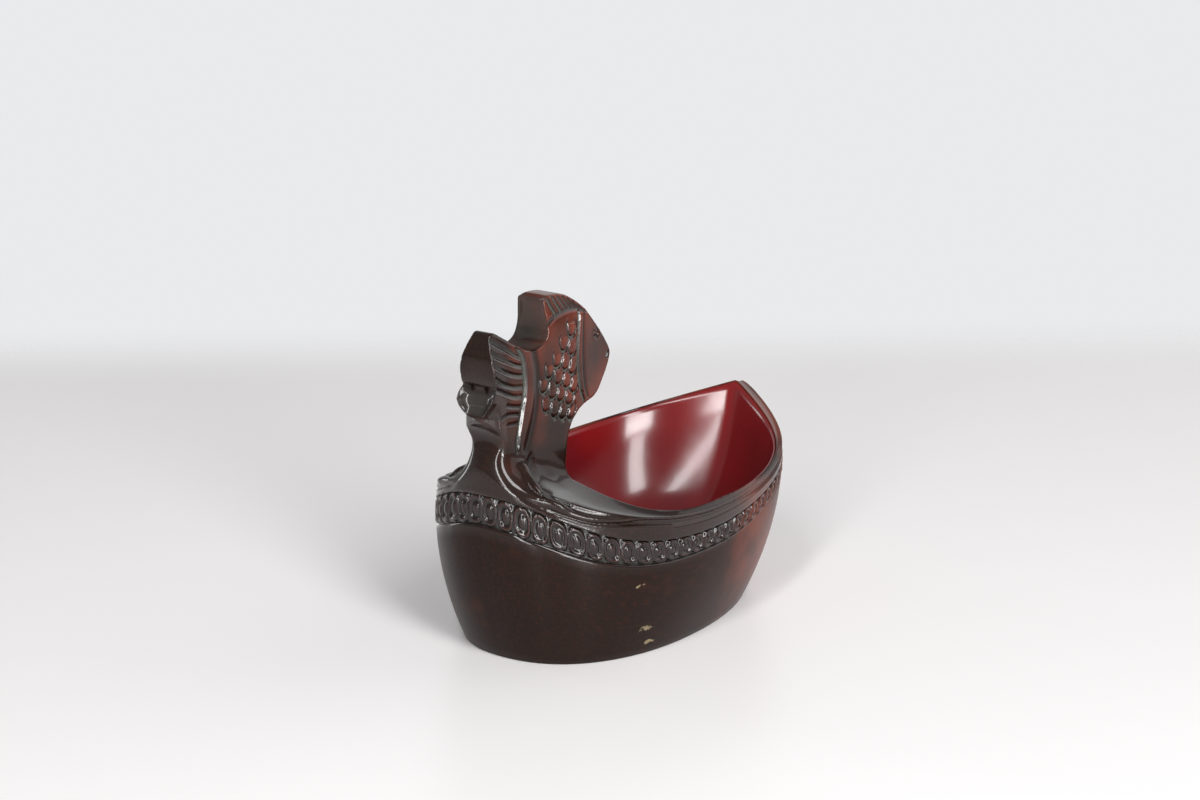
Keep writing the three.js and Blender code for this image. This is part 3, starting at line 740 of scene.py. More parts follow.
    def scoop(self, x: np.ndarray, z: np.ndarray) -> np.ndarray:
        """How deep the end faces are hollowed along their middle line.

        Args:
            x: Places along the side view.
            z: Their heights.

        Returns:
            Depths of the deepest scoop at each place.
        """
        depths = []
        for depth, along, up in self.scoops:
            for place, spans in ((x, along), (z, up)):
                for span in spans:
                    depth = depth * ease(place, *span)
            depths.append(depth)
        return np.maximum.reduce(depths)

    def half_thickness(self, x: np.ndarray, z: np.ndarray) -> np.ndarray:
        """How far the faces of the fish and of its flared neck stand from the middle."""
        left = np.clip((self.seat_z - z) / self.neck_drop, 0.0, 1.0)
        return self.thickness(x, z) / 2 + self.neck_flare * left**3 * ease(x, *self.flare_x)

    def distance(self, place: Points) -> np.ndarray:
        """Signed distance to the fish and its neck, with their edges rounded."""
        x, y, z = place.T
        half = self.half_thickness(x, z)
        across = np.clip(1 - np.abs(y / half) ** 3, 0.0, 1.0)
        side_view = self.outline_distance(x, z) + self.scoop(x, z) * across
        width = blend(self.end_round, self.edge_round, ease(x, *self.end_x))
        rounded = np.clip((self.root_top - z) / self.neck_drop, 0.0, 1.0) * ease(x, *self.root_x)
        width = blend(width, self.root_round, rounded)
        return soft_cross(np.abs(y) - half, side_view, width)

    def slope(self, place: Points) -> Points:
        """Gradient of the signed distance."""
        step = self.slope_step
        ways = np.eye(3) * step
        parts = [(self.distance(place + way) - self.distance(place - way)) / (2 * step) for way in ways]
        return np.stack(parts, axis=-1)

    def blank(self) -> bmesh.types.BMesh:
        """The plank cut to the outline, before its edges are rounded."""
        bm = bmesh.new()
        half = self.neck_thickness / 2
        ring = [bm.verts.new((x, -half, z)) for x, z in self.corner_side_view]
        face = bm.faces.new(ring)
        made = bmesh.ops.extrude_face_region(bm, geom=[face])["geom"]
        moved = [g for g in made if isinstance(g, bmesh.types.BMVert)]
        bmesh.ops.translate(bm, verts=moved, vec=(0, 2 * half, 0))
        low, high = self.outline.min(axis=0), self.outline.max(axis=0)
        for axis, name in ((0, (1, 0, 0)), (1, (0, 0, 1))):
            for cut in np.arange(low[axis] + self.dice_start, high[axis], self.dice):
                everything = [*bm.verts, *bm.edges, *bm.faces]
                bmesh.ops.bisect_plane(bm, geom=everything, plane_co=Vector(name) * cut, plane_no=name)
        for vert in bm.verts:
            x, z = np.array([vert.co.x]), np.array([vert.co.z])
            vert.co.y = math.copysign(self.half_thickness(x, z)[0], vert.co.y)
        bmesh.ops.triangulate(bm, faces=list(bm.faces))
        bmesh.ops.recalc_face_normals(bm, faces=list(bm.faces))
        return bm


@dataclass(frozen=True)
class Cut:
    """One carved line in the side view, with a height that is negative for a groove."""

    path: tuple[Pair, ...]
    width: float = 0.75
    height: float = -0.85

    def relief(self, spots: Points) -> np.ndarray:
        """Height that the line adds at places of the side view."""
        gap = path_distance(spots, smooth_path(self.path))
        return self.height * np.exp(-((gap / self.width) ** 2))


@dataclass(frozen=True)
class Pocket:
    """One round cut in the side view, with its section from the middle out."""

    centre: Pair
    tall: float
    radii: tuple[float, ...]
    heights: tuple[float, ...]

    def relief(self, spots: Points) -> np.ndarray:
        """Height that the cut adds at places of the side view."""
        x, z = self.centre
        return np.interp(np.hypot(spots[:, 0] - x, (spots[:, 1] - z) / self.tall), self.radii, self.heights)


@dataclass(frozen=True)
class FishCarving:
    """Everything carved into both faces of the fish."""

    rays: tuple[Cut, ...] = (
        Cut(((-78.6, 116.0), (-76.8, 114.8), (-74.1, 112.9), (-69.5, 109.6), (-66.3, 107.8))),
        Cut(((-81.8, 113.4), (-77.7, 110.5), (-73.2, 108.1), (-68.7, 105.8), (-65.4, 104.7))),
        Cut(((-81.5, 109.2), (-76.9, 106.1), (-72.4, 103.6), (-67.8, 101.9), (-65.0, 101.3))),
        Cut(((-79.6, 103.3), (-76.1, 101.0), (-72.4, 99.3), (-68.8, 98.1), (-65.1, 97.5))),
        Cut(((-79.3, 99.4), (-76.1, 98.0), (-72.5, 96.2), (-68.8, 94.8), (-65.6, 94.3))),
        Cut(((-73.5, 92.8), (-70.7, 91.9), (-66.5, 90.9)), 0.75, -0.7),
        Cut(((-76.4, 88.9), (-73.5, 89.5), (-69.8, 89.0), (-66.6, 88.1)), 0.75, -0.6),
        Cut(((-73.5, 86.1), (-69.9, 85.7), (-66.8, 85.5)), 0.7, -0.5),
    )
    bar: tuple[Cut, ...] = (
        Cut(
            ((-67.2, 111.6), (-64.7, 107.4), (-64.0, 103.4), (-63.6, 98.3), (-64.2, 93.2), (-65.4, 89.5),
             (-66.4, 85.3), (-67.6, 80.5), (-68.2, 76.5)),
            1.15, -1.15,
        ),
        Cut(
            ((-63.0, 110.0), (-61.0, 105.4), (-60.2, 102.4), (-59.9, 99.4), (-60.2, 96.0), (-61.2, 92.4),
             (-62.1, 89.4), (-63.6, 86.3), (-65.2, 82.9), (-66.4, 78.0), (-67.4, 73.0)),
            1.5, 0.5,
        ),
        Cut(
            ((-58.6, 108.0), (-57.2, 103.0), (-56.8, 98.0), (-57.2, 92.0), (-58.6, 86.0), (-60.8, 80.5),
             (-63.0, 75.0), (-64.2, 70.5)),
            1.9, -0.55,
        ),
    )
    gills: tuple[Cut, ...] = (
        Cut(
            ((-31.9, 116.8), (-32.6, 108.8), (-33.0, 101.8), (-32.6, 95.7), (-31.2, 89.4), (-28.9, 84.4)),
            0.8, -0.95,
        ),
        Cut(
            ((-28.9, 115.6), (-29.5, 108.1), (-29.6, 101.0), (-29.2, 95.0), (-28.3, 90.0), (-26.4, 85.6)),
            0.6, -0.75,
        ),
        Cut(((-30.4, 116.0), (-31.1, 108.0), (-31.4, 101.0), (-31.0, 95.0), (-29.9, 89.0)), 0.6, 0.3),
    )
    arc: Cut = Cut(
        ((-50.2, 115.6), (-48.0, 117.0), (-44.1, 118.2), (-38.4, 118.8), (-32.5, 118.2), (-27.6, 116.2)),
        0.7, -0.7,
    )
    fin_rays: tuple[Cut, ...] = (
        Cut(((-49.0, 124.8), (-46.8, 121.2), (-44.9, 118.6)), 0.75, -0.9),
        Cut(((-45.8, 124.8), (-43.6, 121.4), (-41.7, 119.0)), 0.7, -0.9),
        Cut(((-42.9, 124.3), (-40.8, 121.4), (-39.0, 119.3)), 0.65, -0.85),
        Cut(((-40.0, 123.5), (-38.2, 121.0), (-36.5, 119.1)), 0.6, -0.8),
        Cut(((-37.2, 122.4), (-35.6, 120.4), (-34.2, 118.8)), 0.55, -0.75),
        Cut(((-34.4, 121.0), (-33.1, 119.4), (-31.8, 118.2)), 0.5, -0.7),
        Cut(((-31.8, 119.6), (-30.7, 118.4), (-29.6, 117.2)), 0.5, -0.6),
    )
    scales: tuple[Pair, ...] = (
        (-36.7, 113.0), (-41.3, 108.9), (-36.4, 106.4), (-45.2, 103.9), (-40.4, 102.0), (-36.3, 99.6),
        (-49.7, 100.8), (-44.5, 97.6), (-39.6, 95.4), (-35.6, 92.8), (-52.9, 96.4), (-47.9, 93.3),
        (-43.1, 91.3), (-38.2, 89.0), (-51.5, 89.5), (-46.7, 86.4), (-41.9, 84.7), (-37.4, 83.6),
    )
    scale_half: Pair = (2.8, 4.2)
    scale_open: Pair = (0.75, 0.1)
    scale_cover: float = 0.2
    scale_radii: tuple[float, ...] = (0.0, 0.6, 0.82, 0.96, 1.08, 1.2)
    scale_heights: tuple[float, ...] = (0.35, 0.15, -0.2, -1.0, -0.6, 0.0)
    scale_rim: float = 0.96
    eye: Pocket = Pocket(
        (-20.4, 107.0), 1.15, (0.0, 0.8, 1.25, 1.75, 2.1, 2.5, 3.0), (0.15, 0.05, -0.75, -0.85, 0.0, 0.15, 0.0)
    )
    mouth: Pocket = Pocket((-11.9, 97.2), 1.0, (0.0, 0.7, 1.2, 1.6, 2.2), (-2.4, -2.2, -1.0, -0.1, 0.0))

    def relief(self, spots: Points) -> np.ndarray:
        """Height of the carving at places of the side view.

        Args:
            spots: Places as x and z, one a row.

        Returns:
            Millimetres, negative where the carving is cut in.
        """
        height = np.zeros(len(spots))
        for line in (*self.rays, *self.bar, *self.gills, self.arc, *self.fin_rays):
            own = line.relief(spots)
            height = np.minimum(height, own) if line.height < 0 else height + own
        for x, z in sorted(self.scales, key=lambda scale: scale[1]):
            across, up = (spots[:, 0] - x) / self.scale_half[0], (spots[:, 1] - z) / self.scale_half[1]
            away = np.hypot(across, up)
            scaled = np.interp(away, self.scale_radii, self.scale_heights)
            scaled = np.where(scaled < 0, scaled * ease(up, *self.scale_open), scaled)
            covered = (away < self.scale_rim) & (up < self.scale_cover)
            height = np.where(covered, scaled, np.minimum(height, scaled + (scaled == 0)))
        return height + self.eye.relief(spots) + self.mouth.relief(spots)


@dataclass(frozen=True)
class HeadAndFish:
    """The bowl's head, the neck and the fish, carved from one blank and parted at the seat."""

    form: BowlForm
    rim: RimForm
    fish: FishForm = FishForm()
    carving: FishCarving = FishCarving()
    voxel: float = 0.37
    ring_columns: int = 720
    seam_x: float = -33.0
    overlap: float = 2.5
    fillet: float = 9.0
    fillet_at_mouth: float = 4.5
    fillet_x: Pair = (-38.0, -52.0)
    fillet_foot: float = 57.0
    ring_reach: float = 12.0
    out_of_reach: float = 60.0
    touching: float = 0.02
    longest_step: float = 0.6
    least_slope: float = 0.2
    passes: int = 8
    smoothing: int = 8
    bead_height: float = 1.7
    groove_height: float = -0.9
    line_width: float = 1.15
    lines_from_x: float = -60.0
    squeeze: float = 0.8
    slant: Triple = (0.784, 0.558, -0.271)
    bead_on_neck: tuple[Triple, ...] = (
        (-67.0, -28.3, 58.3), (-70.0, -24.9, 60.6), (-70.3, -19.9, 62.8), (-70.9, -16.0, 66.0),
        (-69.9, -13.6, 67.6), (-69.4, -11.5, 69.5), (-69.1, -9.8, 71.0), (-69.6, -9.4, 72.0),
    )
    groove_on_neck: tuple[Triple, ...] = (
        (-65.0, -26.0, 59.3), (-66.6, -24.0, 60.3), (-68.3, -21.2, 62.2), (-67.0, -16.7, 63.4),
        (-65.2, -12.3, 65.2), (-63.9, -9.4, 67.7), (-62.1, -8.2, 70.5), (-61.4, -8.0, 74.0),
    )

    def build(self) -> tuple[bpy.types.Object, bpy.types.Object, bpy.types.Object]:
        """Makes the rim, the head of the bowl and the fish.

        Returns:
            The rim round the sides and the prow, the bowl's head with its neck, and the fish.
        """
        ring = sleeve(self.ring_columns, self.rim.rows())
        ring.normal_update()
        skin = BVHTree.FromBMesh(ring)
        sides = ring.copy()
        halve(sides, Vector((self.seam_x, 0, 0)), Vector((1, 0, 0)))
        rim = finished(sides, "bowl_rim")
        for kind in (Note.HOLLOW, Note.RUBBED):
            note(rim.data, kind, np.zeros(len(rim.data.vertices)))
        note(rim.data, Note.POLISHED, self.polish(rim.data, 0.0))
        halve(ring, Vector((self.seam_x + self.overlap, 0, 0)), Vector((-1, 0, 0)))
        blank = self.fish.blank()
        join = bpy.data.meshes.new("join")
        blank.to_mesh(join)
        ring.from_mesh(join)
        blank.free()
        whole = remeshed(ring, self.voxel)
        settled, shared = self.settle(places_of(whole), skin)
        lay_places(whole, settled)
        self.even_out(whole, shared)
        self.carve(whole)
        head, fish = bmesh.new(), bmesh.new()
        seat = Vector((0, 0, self.fish.seat_z * MM))
        head.from_mesh(whole)
        halve(head, seat, Vector((0, 0, -1)))
        halve(head, Vector((self.seam_x * MM, 0, 0)), Vector((-1, 0, 0)))
        fish.from_mesh(whole)
        halve(fish, seat, Vector((0, 0, 1)))
        bpy.data.meshes.remove(join)
        return rim, placed(head, "bowl_head"), placed(fish, "carved_fish")

    def settle(self, places: Points, skin: BVHTree) -> tuple[Points, np.ndarray]:
        """Moves points onto the smooth form of the ring and the fish together.

        Args:
            places: Points near the form.
            skin: The ring's skin, for its signed distance.

        Returns:
            The moved points, and whether each lies in the fillet between the two.
        """
        low = places[:, 2] < self.fish.seat_z + self.ring_reach
        share = np.ones(len(places))
        for _ in range(self.passes):
            gap, slope = self.fish.distance(places), self.fish.slope(places)
            ring_gap = np.full(len(places), self.out_of_reach)
            ring_slope = np.zeros_like(places)
            for i in np.flatnonzero(low):
                spot = Vector(places[i])
                near, normal, _, distance = skin.find_nearest(spot)
                side = math.copysign(1.0, (spot - near).dot(normal))
                ring_gap[i] = math.copysign(distance, side)
                ring_slope[i] = (spot - near) / distance * side if distance > self.touching else normal
            width = blend(self.fillet_at_mouth, self.fillet, ease(places[:, 0], *self.fillet_x))
            joined, share = soft_union(gap, ring_gap, width)
            direction = slope * share[:, None] + ring_slope * (1 - share[:, None])
            size = np.maximum((direction**2).sum(axis=1), self.least_slope)
            step = np.clip(joined / size, -self.longest_step, self.longest_step)
            places = places - direction * step[:, None]
        return places, (share > 0.01) & (share < 0.99) & (places[:, 2] > self.fillet_foot)

    def even_out(self, mesh: bpy.types.Mesh, chosen: np.ndarray) -> None:
        """Smooths the chosen points of a mesh with their neighbours."""
        bm = bmesh.new()
        bm.from_mesh(mesh)
        verts = [vert for vert, wanted in zip(bm.verts, chosen) if wanted]
        every_way = {"use_axis_x": True, "use_axis_y": True, "use_axis_z": True}
        for _ in range(self.smoothing):
            bmesh.ops.smooth_vert(bm, verts=verts, factor=0.5, **every_way)
        bm.to_mesh(mesh)
        bm.free()

    def flattened(self, places: Points) -> Points:
        """Places pressed together along the slant at which the lines on the neck are drawn."""
        slant = np.array(self.slant) / np.linalg.norm(self.slant)
        return places - self.squeeze * (places @ slant)[:, None] * slant

    def line_on_neck(self, places: Points, path: Sequence[Triple], span: Pair) -> np.ndarray:
        """How near places lie to a line drawn on both sides of the neck.

        Args:
            places: Places on the head and the neck.
            path: Corners of the line on the near side.
            span: Heights between which the line ends and is whole.

        Returns:
            1 on the line, falling to 0 beside it.
        """
        near_side = places.copy()
        near_side[:, 1] = -np.abs(places[:, 1])
        gap = path_distance(self.flattened(near_side), self.flattened(smooth_path(path)))
        return np.exp(-((gap / self.line_width) ** 2)) * ease(places[:, 2], *span)

    def carve(self, mesh: bpy.types.Mesh) -> None:
        """Cuts the carving into the fish and the neck, notes how deep it is, and notes the scooped end faces
        for their painted grey sheen and shade.
        """
        places, normals = places_of(mesh), vectors_of(mesh, "normal")
        x, z, side = places[:, 0], places[:, 2], np.abs(normals[:, 1])
        height = self.carving.relief(places[:, [0, 2]]) * (ease(side, 0.55, 0.85) * ease(z, 70.0, 78.0))
        behind = (x < self.lines_from_x) * ease(z, 57.5, 59.5)
        bead = self.line_on_neck(places, self.bead_on_neck, (74.5, 70.5))
        groove = self.line_on_neck(places, self.groove_on_neck, (75.0, 71.0))
        moulded = (self.bead_height * bead + self.groove_height * groove) * behind
        lay_places(mesh, places + normals * (height + moulded)[:, None])
        # Depth of the cuts, which the finish darkens with painted shade and fills with wax.
        in_groove = np.maximum(-height / 0.8, groove * behind * 0.55)
        note(mesh, Note.HOLLOW, np.clip(in_groove, 0.0, 1.0))
        note(mesh, Note.RUBBED, np.clip(height / 0.35, 0.0, 1.0))
        # The scooped end faces are noted for a painted grey sheen and shade.
        scooped = self.fish.scoop(x, z) * ease(side, 0.75, 0.3)
        note(mesh, Note.SCOOP_SHEEN_SHADE, np.clip(scooped / 1.2, 0.0, 1.0))
        note(mesh, Note.POLISHED, self.polish(mesh, bead * behind))

    def polish(self, mesh: bpy.types.Mesh, bead: np.ndarray | float) -> np.ndarray:
        """Where handling has left a gloss: the bead, the rim, the fish and the edges between its faces.

        Args:
            mesh: The mesh as it is carved.
            bead: How far each point lies on the bead.

        Returns:
            Shares from 0 to 1.
        """
        places, normals = places_of(mesh), vectors_of(mesh, "normal")
        side, z = np.abs(normals[:, 1]), places[:, 2]
        edge = self.form.rim.at(np.linspace(0.0, 1.0, 181))
        near_edge = ease(path_distance(places[:, :2], edge[:, :2]), 5.0, 2.0) * 0.8
        level = ease(normals[:, 2], 0.5, 0.8) * ease(z, 44.0, 48.0) * 0.6
        on_fish = ease(z, 60.0, 74.0) * 0.3
        corner = ease(side, 0.3, 0.5) * ease(side, 0.97, 0.85) * ease(z, 76.0, 80.0)
        shares = [np.broadcast_to(bead, side.shape), near_edge, level, on_fish, corner]
        return np.clip(np.maximum.reduce(shares), 0.0, 1.0)


def remeshed(bm: bmesh.types.BMesh, voxel: float) -> bpy.types.Mesh:
    """Melts overlapping closed solids into one even skin.

    Args:
        bm: The solids, in millimetres.
        voxel: Size of the even faces.

    Returns:
        The skin's mesh, in metres.
    """
    blank = finished(bm, "blank")
    melt = blank.modifiers.new("melt", "REMESH")
    melt.mode = "VOXEL"
    melt.voxel_size = voxel * MM
    melt.use_smooth_shade = True
    graph = bpy.context.evaluated_depsgraph_get()
    mesh = bpy.data.meshes.new_from_object(blank.evaluated_get(graph))
    old = blank.data
    bpy.data.objects.remove(blank)
    bpy.data.meshes.remove(old)
    return mesh


def halve(bm: bmesh.types.BMesh, place: Vector, keep: Vector) -> None:
    """Cuts a closed mesh with a plane, and closes what is kept with flat faces.

    Args:
        bm: The mesh, cut in place.
        place: A point of the plane.
        keep: The side that is kept lies this way.
    """
    everything = [*bm.verts, *bm.edges, *bm.faces]
    made = bmesh.ops.bisect_plane(bm, geom=everything, plane_co=place, plane_no=keep, clear_inner=True)
    edges = [g for g in made["geom_cut"] if isinstance(g, bmesh.types.BMEdge)]
    caps = bmesh.ops.edgenet_fill(bm, edges=edges)["faces"]
    bmesh.ops.triangulate(bm, faces=caps)
    for edge in edges:
        edge.smooth = False
    bm.normal_update()


def placed(bm: bmesh.types.BMesh, name: str) -> bpy.types.Object:
    """Turns a mesh in metres into an object at the origin."""
    mesh = bpy.data.meshes.new(name)
    bm.to_mesh(mesh)
    bm.free()
    piece = bpy.data.objects.new(name, mesh)
    bpy.context.scene.collection.objects.link(piece)
    return piece


@dataclass(frozen=True)
class LacquerCoat:
    """The red coat that lines the hollow."""

    form: BowlForm
    columns: int = 320
    rows: int = 46
    gap: float = 0.3
    thickness: float = 0.7
    reveal: float = 0.5
    back_rows: int = 8
    back_top: float = 0.9
    crowding: float = 1.25

    def build(self) -> bpy.types.Object:
        """Makes the coat as a thin closed skin, its back first and then its face."""
        back = [1.0, *np.linspace(self.back_top, 0.0, self.back_rows)]
        face = np.linspace(0.0, 1.0, self.rows) ** self.crowding
        inset = self.gap + self.thickness
        rows = [
            *[self.form.hollow_row(turn, self.gap, self.reveal) for turn in back],
            *[self.form.hollow_row(turn, inset, self.reveal) for turn in face],
        ]
        return finished(sleeve(self.columns, rows), "lacquer_coat")


class Link:
    """A socket of a node tree that can be reckoned with like a number."""

    def __init__(self, tree: "Tree", socket: bpy.types.NodeSocket) -> None:
        """Wraps a socket of a tree."""
        self.tree = tree
        self.socket = socket

    def _math(self, operation: str, *values: "Link | float") -> "Link":
        """A Math node's result."""
        return self.tree.add("ShaderNodeMath", {"operation": operation}, dict(enumerate(values)))

    def __add__(self, other: "Link | float") -> "Link":
        """Sum."""
        return self._math("ADD", self, other)

    def __radd__(self, other: float) -> "Link":
        """Sum with a number in front."""
        return self._math("ADD", other, self)

    def __sub__(self, other: "Link | float") -> "Link":
        """Difference."""
        return self._math("SUBTRACT", self, other)

    def __rsub__(self, other: float) -> "Link":
        """Difference from a number."""
        return self._math("SUBTRACT", other, self)

    def __mul__(self, other: "Link | float") -> "Link":
        """Product."""
        return self._math("MULTIPLY", self, other)

    def __rmul__(self, other: float) -> "Link":
        """Product with a number in front."""
        return self._math("MULTIPLY", other, self)

    def between(self, low: float, high: float) -> "Link":
        """Smooth step from 0 at low to 1 at high."""
        settings = {"interpolation_type": "SMOOTHSTEP", "clamp": True}
        return self.tree.add("ShaderNodeMapRange", settings, {"Value": self, "From Min": low, "From Max": high})


class Tree:
    """The node tree of a material or a world, filled by name."""

    def __init__(self, owner: bpy.types.Material | bpy.types.World) -> None:
        """Empties its owner's tree."""
        owner.use_nodes = True
        self.owner = owner
        self.nodes = owner.node_tree.nodes
        self.links = owner.node_tree.links
        self.nodes.clear()

    def add(
        self,
        kind: str,
        settings: dict[str, object] | None = None,
        values: dict[str | int, object] | None = None,
        result: str | int = 0,
    ) -> Link:
        """Adds a node.

        Args:
            kind: The node's type.
            settings: Its own settings, set first.
            values: Numbers, colours or links for its sockets, by name or number.
            result: The socket that is handed back.

        Returns:
            The node's result.
        """
        node = self.nodes.new(kind)
        for name, value in (settings or {}).items():
            setattr(node, name, value)
        for name, value in (values or {}).items():
            socket = node.inputs[name]
            if isinstance(value, Link):
                self.links.new(value.socket, socket)
            else:
                socket.default_value = value
        return Link(self, node.outputs[result])

    def mix(self, low: "Link | Colour", high: "Link | Colour", share: "Link | float") -> Link:
        """Colour between two colours."""
        return self.add("ShaderNodeMix", {"data_type": "RGBA"}, {0: share, 6: low, 7: high}, 2)

    def place(self, scale: Triple = (1.0, 1.0, 1.0)) -> Link:
        """Object coordinates, stretched."""
        own = self.add("ShaderNodeTexCoord", result="Object")
        return self.add("ShaderNodeMapping", None, {"Vector": own, "Scale": scale})

    def span(self, where: Link, spot: Triple, stretch: Triple) -> Link:
        """Distance from a spot, stretched along the axes."""
        away = self.add("ShaderNodeVectorMath", {"operation": "SUBTRACT"}, {0: where, 1: spot})
        drawn = self.add("ShaderNodeVectorMath", {"operation": "MULTIPLY"}, {0: away, 1: stretch})
        return self.add("ShaderNodeVectorMath", {"operation": "LENGTH"}, {0: drawn}, "Value")

    def noise(self, where: Link, size: float, detail: float = 3.0, roughness: float = 0.55) -> Link:
        """Cloudy noise, 0 to 1."""
        values = {"Vector": where, "Scale": size, "Detail": detail, "Roughness": roughness}
        return self.add("ShaderNodeTexNoise", None, values)

    def bump(self, height: Link, strength: float, distance: float) -> Link:
        """A normal that rises and falls with a height."""
        values = {"Strength": strength, "Distance": distance, "Height": height}
        return self.add("ShaderNodeBump", None, values, "Normal")

    def part(self, where: Link, axis: str) -> Link:
        """One coordinate of a place."""
        return self.add("ShaderNodeSeparateXYZ", None, {"Vector": where}, axis)

    def noted(self, kind: Note) -> Link:
        """A number kept on the mesh."""
        return self.add("ShaderNodeAttribute", {"attribute_name": kind.value}, None, "Fac")

    def end(self, shader: Link, output: str) -> None:
        """Ends the tree in an output node."""
        self.links.new(shader.socket, self.nodes.new(output).inputs["Surface"])

    def surface(self, values: dict[str | int, object]) -> bpy.types.Material:
        """Ends the tree in a surface and hands back the material."""
        self.end(self.add("ShaderNodeBsdfPrincipled", None, values), "ShaderNodeOutputMaterial")
        return self.owner


def colour(red: int, green: int, blue: int) -> Colour:
    """Linear colour from the values of a colour picker."""
    shares = [v / 255 for v in (red, green, blue)]
    linear = [v / 12.92 if v <= 0.04045 else ((v + 0.055) / 1.055) ** 2.4 for v in shares]
    return (*linear, 1.0)


@dataclass(frozen=True)
class WaxedWood:
    """Dark polished wood with red-brown wear and grey wax left in its grooves; the grooves are darkened with
    painted shade, the scooped end faces get a painted grey sheen and shade, and the prow's side is warmed
    partly by wear and partly by painted light.
    """

    dark: Colour = colour(27, 16, 11)
    warm: Colour = colour(98, 42, 27)
    # Red-brown of worn crests, also laid towards the prow partly as painted light.
    rub_and_prow_light: Colour = colour(122, 52, 32)
    wax: Colour = colour(86, 92, 84)
    # Near-black painted shade laid into the carved grooves.
    groove_shade: Colour = colour(20, 15, 13)
    # Grey painted sheen and shade for the scooped end faces.
    scoop_sheen_shade: Colour = colour(60, 60, 57)
    chip: Colour = colour(132, 118, 92)
    chips: tuple[Triple, ...] = (
        (-0.0389, -0.0402, 0.0108), (-0.0354, -0.0391, 0.0048), (-0.0445, -0.0423, 0.0286),
    )
    chip_radii: tuple[float, ...] = (0.0033, 0.0027, 0.0016)
    chip_stretch: Triple = (1.0, 1.0, 2.6)
    chip_rough: float = 0.009
    on_bowl: Triple = (-0.06, 0.1, 0.12)
    on_fish: Triple = (0.17, 0.7, 0.45)

    def make(self, name: str) -> bpy.types.Material:
        """The wood's material."""
        tree = Tree(bpy.data.materials.new(name))
        grain_place, own_place = tree.place((30.0, 160.0, 160.0)), tree.place()
        x, z = tree.part(own_place, "X"), tree.part(own_place, "Z")
        grain = tree.noise(grain_place, 5.0, 5.0, 0.62)
        cloud = tree.noise(own_place, 26.0, 3.0)
        patch = tree.noise(own_place, 60.0, 4.0)
        speck = tree.noise(own_place, 420.0, 2.0)
        hollow, rubbed, scoop_sheen_share = tree.noted(Note.HOLLOW), tree.noted(Note.RUBBED), tree.noted(Note.SCOOP_SHEEN_SHADE)
        lift = z.between(0.06, 0.08) * x.between(-0.084, -0.05)
        warmth, waxed, wear = (low + lift * (high - low) for low, high in zip(self.on_bowl, self.on_fish))
        # Towards the prow the wood is painted warmer and lighter: partly red-brown wear, partly painted light
        # on the side that faces the lamps.
        prow = x.between(-0.04, 0.09)
        warm = (cloud + warmth + prow * 0.3).between(0.52, 0.8) * 0.85 + grain.between(0.45, 0.75) * 0.1
        worn = rubbed.between(0.2, 0.9) * patch.between(0.4, 0.62) * (wear + prow * 0.3)
        waxy = hollow.between(0.75, 1.0) * patch.between(0.3, 0.5) * waxed
        base = tree.mix(self.dark, self.warm, warm)
        for tint, share in (
            # partly red-brown wear, partly painted light towards the prow
            (self.rub_and_prow_light, prow * cloud.between(0.3, 0.75) * 0.4),
            (self.rub_and_prow_light, worn),
            # painted grey sheen and shade on the scooped end faces
            (self.scoop_sheen_shade, scoop_sheen_share * 0.5),
            # painted shade darkening the grooves, the deeper cuts darker
            (self.groove_shade, hollow.between(0.1, 0.5) * 0.85),
            (self.wax, waxy),
        ):
            base = tree.mix(base, tint, share)
        for spot, radius in zip(self.chips, self.chip_radii):
            away = tree.span(own_place, spot, self.chip_stretch) + (speck - 0.5) * self.chip_rough
            base = tree.mix(base, self.chip, away.between(radius, radius * 0.6) * 0.85)
        return tree.surface(
            {
                "Base Color": base,
                "Roughness": 0.24 + patch * 0.12 + grain * 0.06 + waxy * 0.25,
                "Specular IOR Level": 0.04,
                "Normal": tree.bump(grain * 0.5 + patch * 0.5, 0.25, 0.0004),
                "Coat Weight": 0.24 + tree.noted(Note.POLISHED) * 0.7,
                "Coat Roughness": 0.09,
            }
        )


@dataclass(frozen=True)
class RedLacquer:
    """Deep crimson lacquer brushed into the hollow."""

    bright: Colour = colour(114, 16, 19)
    deep: Colour = colour(80, 13, 20)

    def make(self, name: str) -> bpy.types.Material:
        """The lacquer's material."""
        tree = Tree(bpy.data.materials.new(name))
        place = tree.place()
        cloud = tree.noise(place, 18.0, 2.0)
        return tree.surface(
            {
                "Base Color": tree.mix(self.bright, self.deep, cloud.between(0.4, 0.68)),
                "Roughness": 0.17 + cloud * 0.08,
                "Specular IOR Level": 0.5,
                "Normal": tree.bump(tree.noise(place, 45.0, 2.0), 0.3, 0.0006),
                "Coat Weight": 0.3,
                "Coat Roughness": 0.1,
            }
        )


@dataclass(frozen=True)
class Lamp:
    """A soft rectangular lamp, placed by where it stands as seen from the dish, in degrees."""

    name: str
    azimuth: float
    low: float
    high: float
    width: float
    radiance: float
    distance: float = 1.6
    target: Triple = (0.0, 0.0, 0.06)

    def hang(self) -> None:
        """Puts the lamp in the scene."""
        round_about, above = math.radians(self.azimuth), math.radians((self.low + self.high) / 2)
        level = math.cos(above)
        towards = Vector((math.cos(round_about) * level, math.sin(round_about) * level, math.sin(above)))
        data = bpy.data.lights.new(self.name, "AREA")
        data.shape = "RECTANGLE"
        data.size = 2 * self.distance * math.tan(math.radians(self.width / 2))
        data.size_y = 2 * self.distance * math.tan(math.radians((self.high - self.low) / 2))
        data.energy = self.radiance * math.pi * data.size * data.size_y
        lamp = bpy.data.objects.new(self.name, data)
        lamp.location = Vector(self.target) + towards * self.distance
        lamp.rotation_euler = towards.to_track_quat("Z", "Y").to_euler()
        bpy.context.scene.collection.objects.link(lamp)


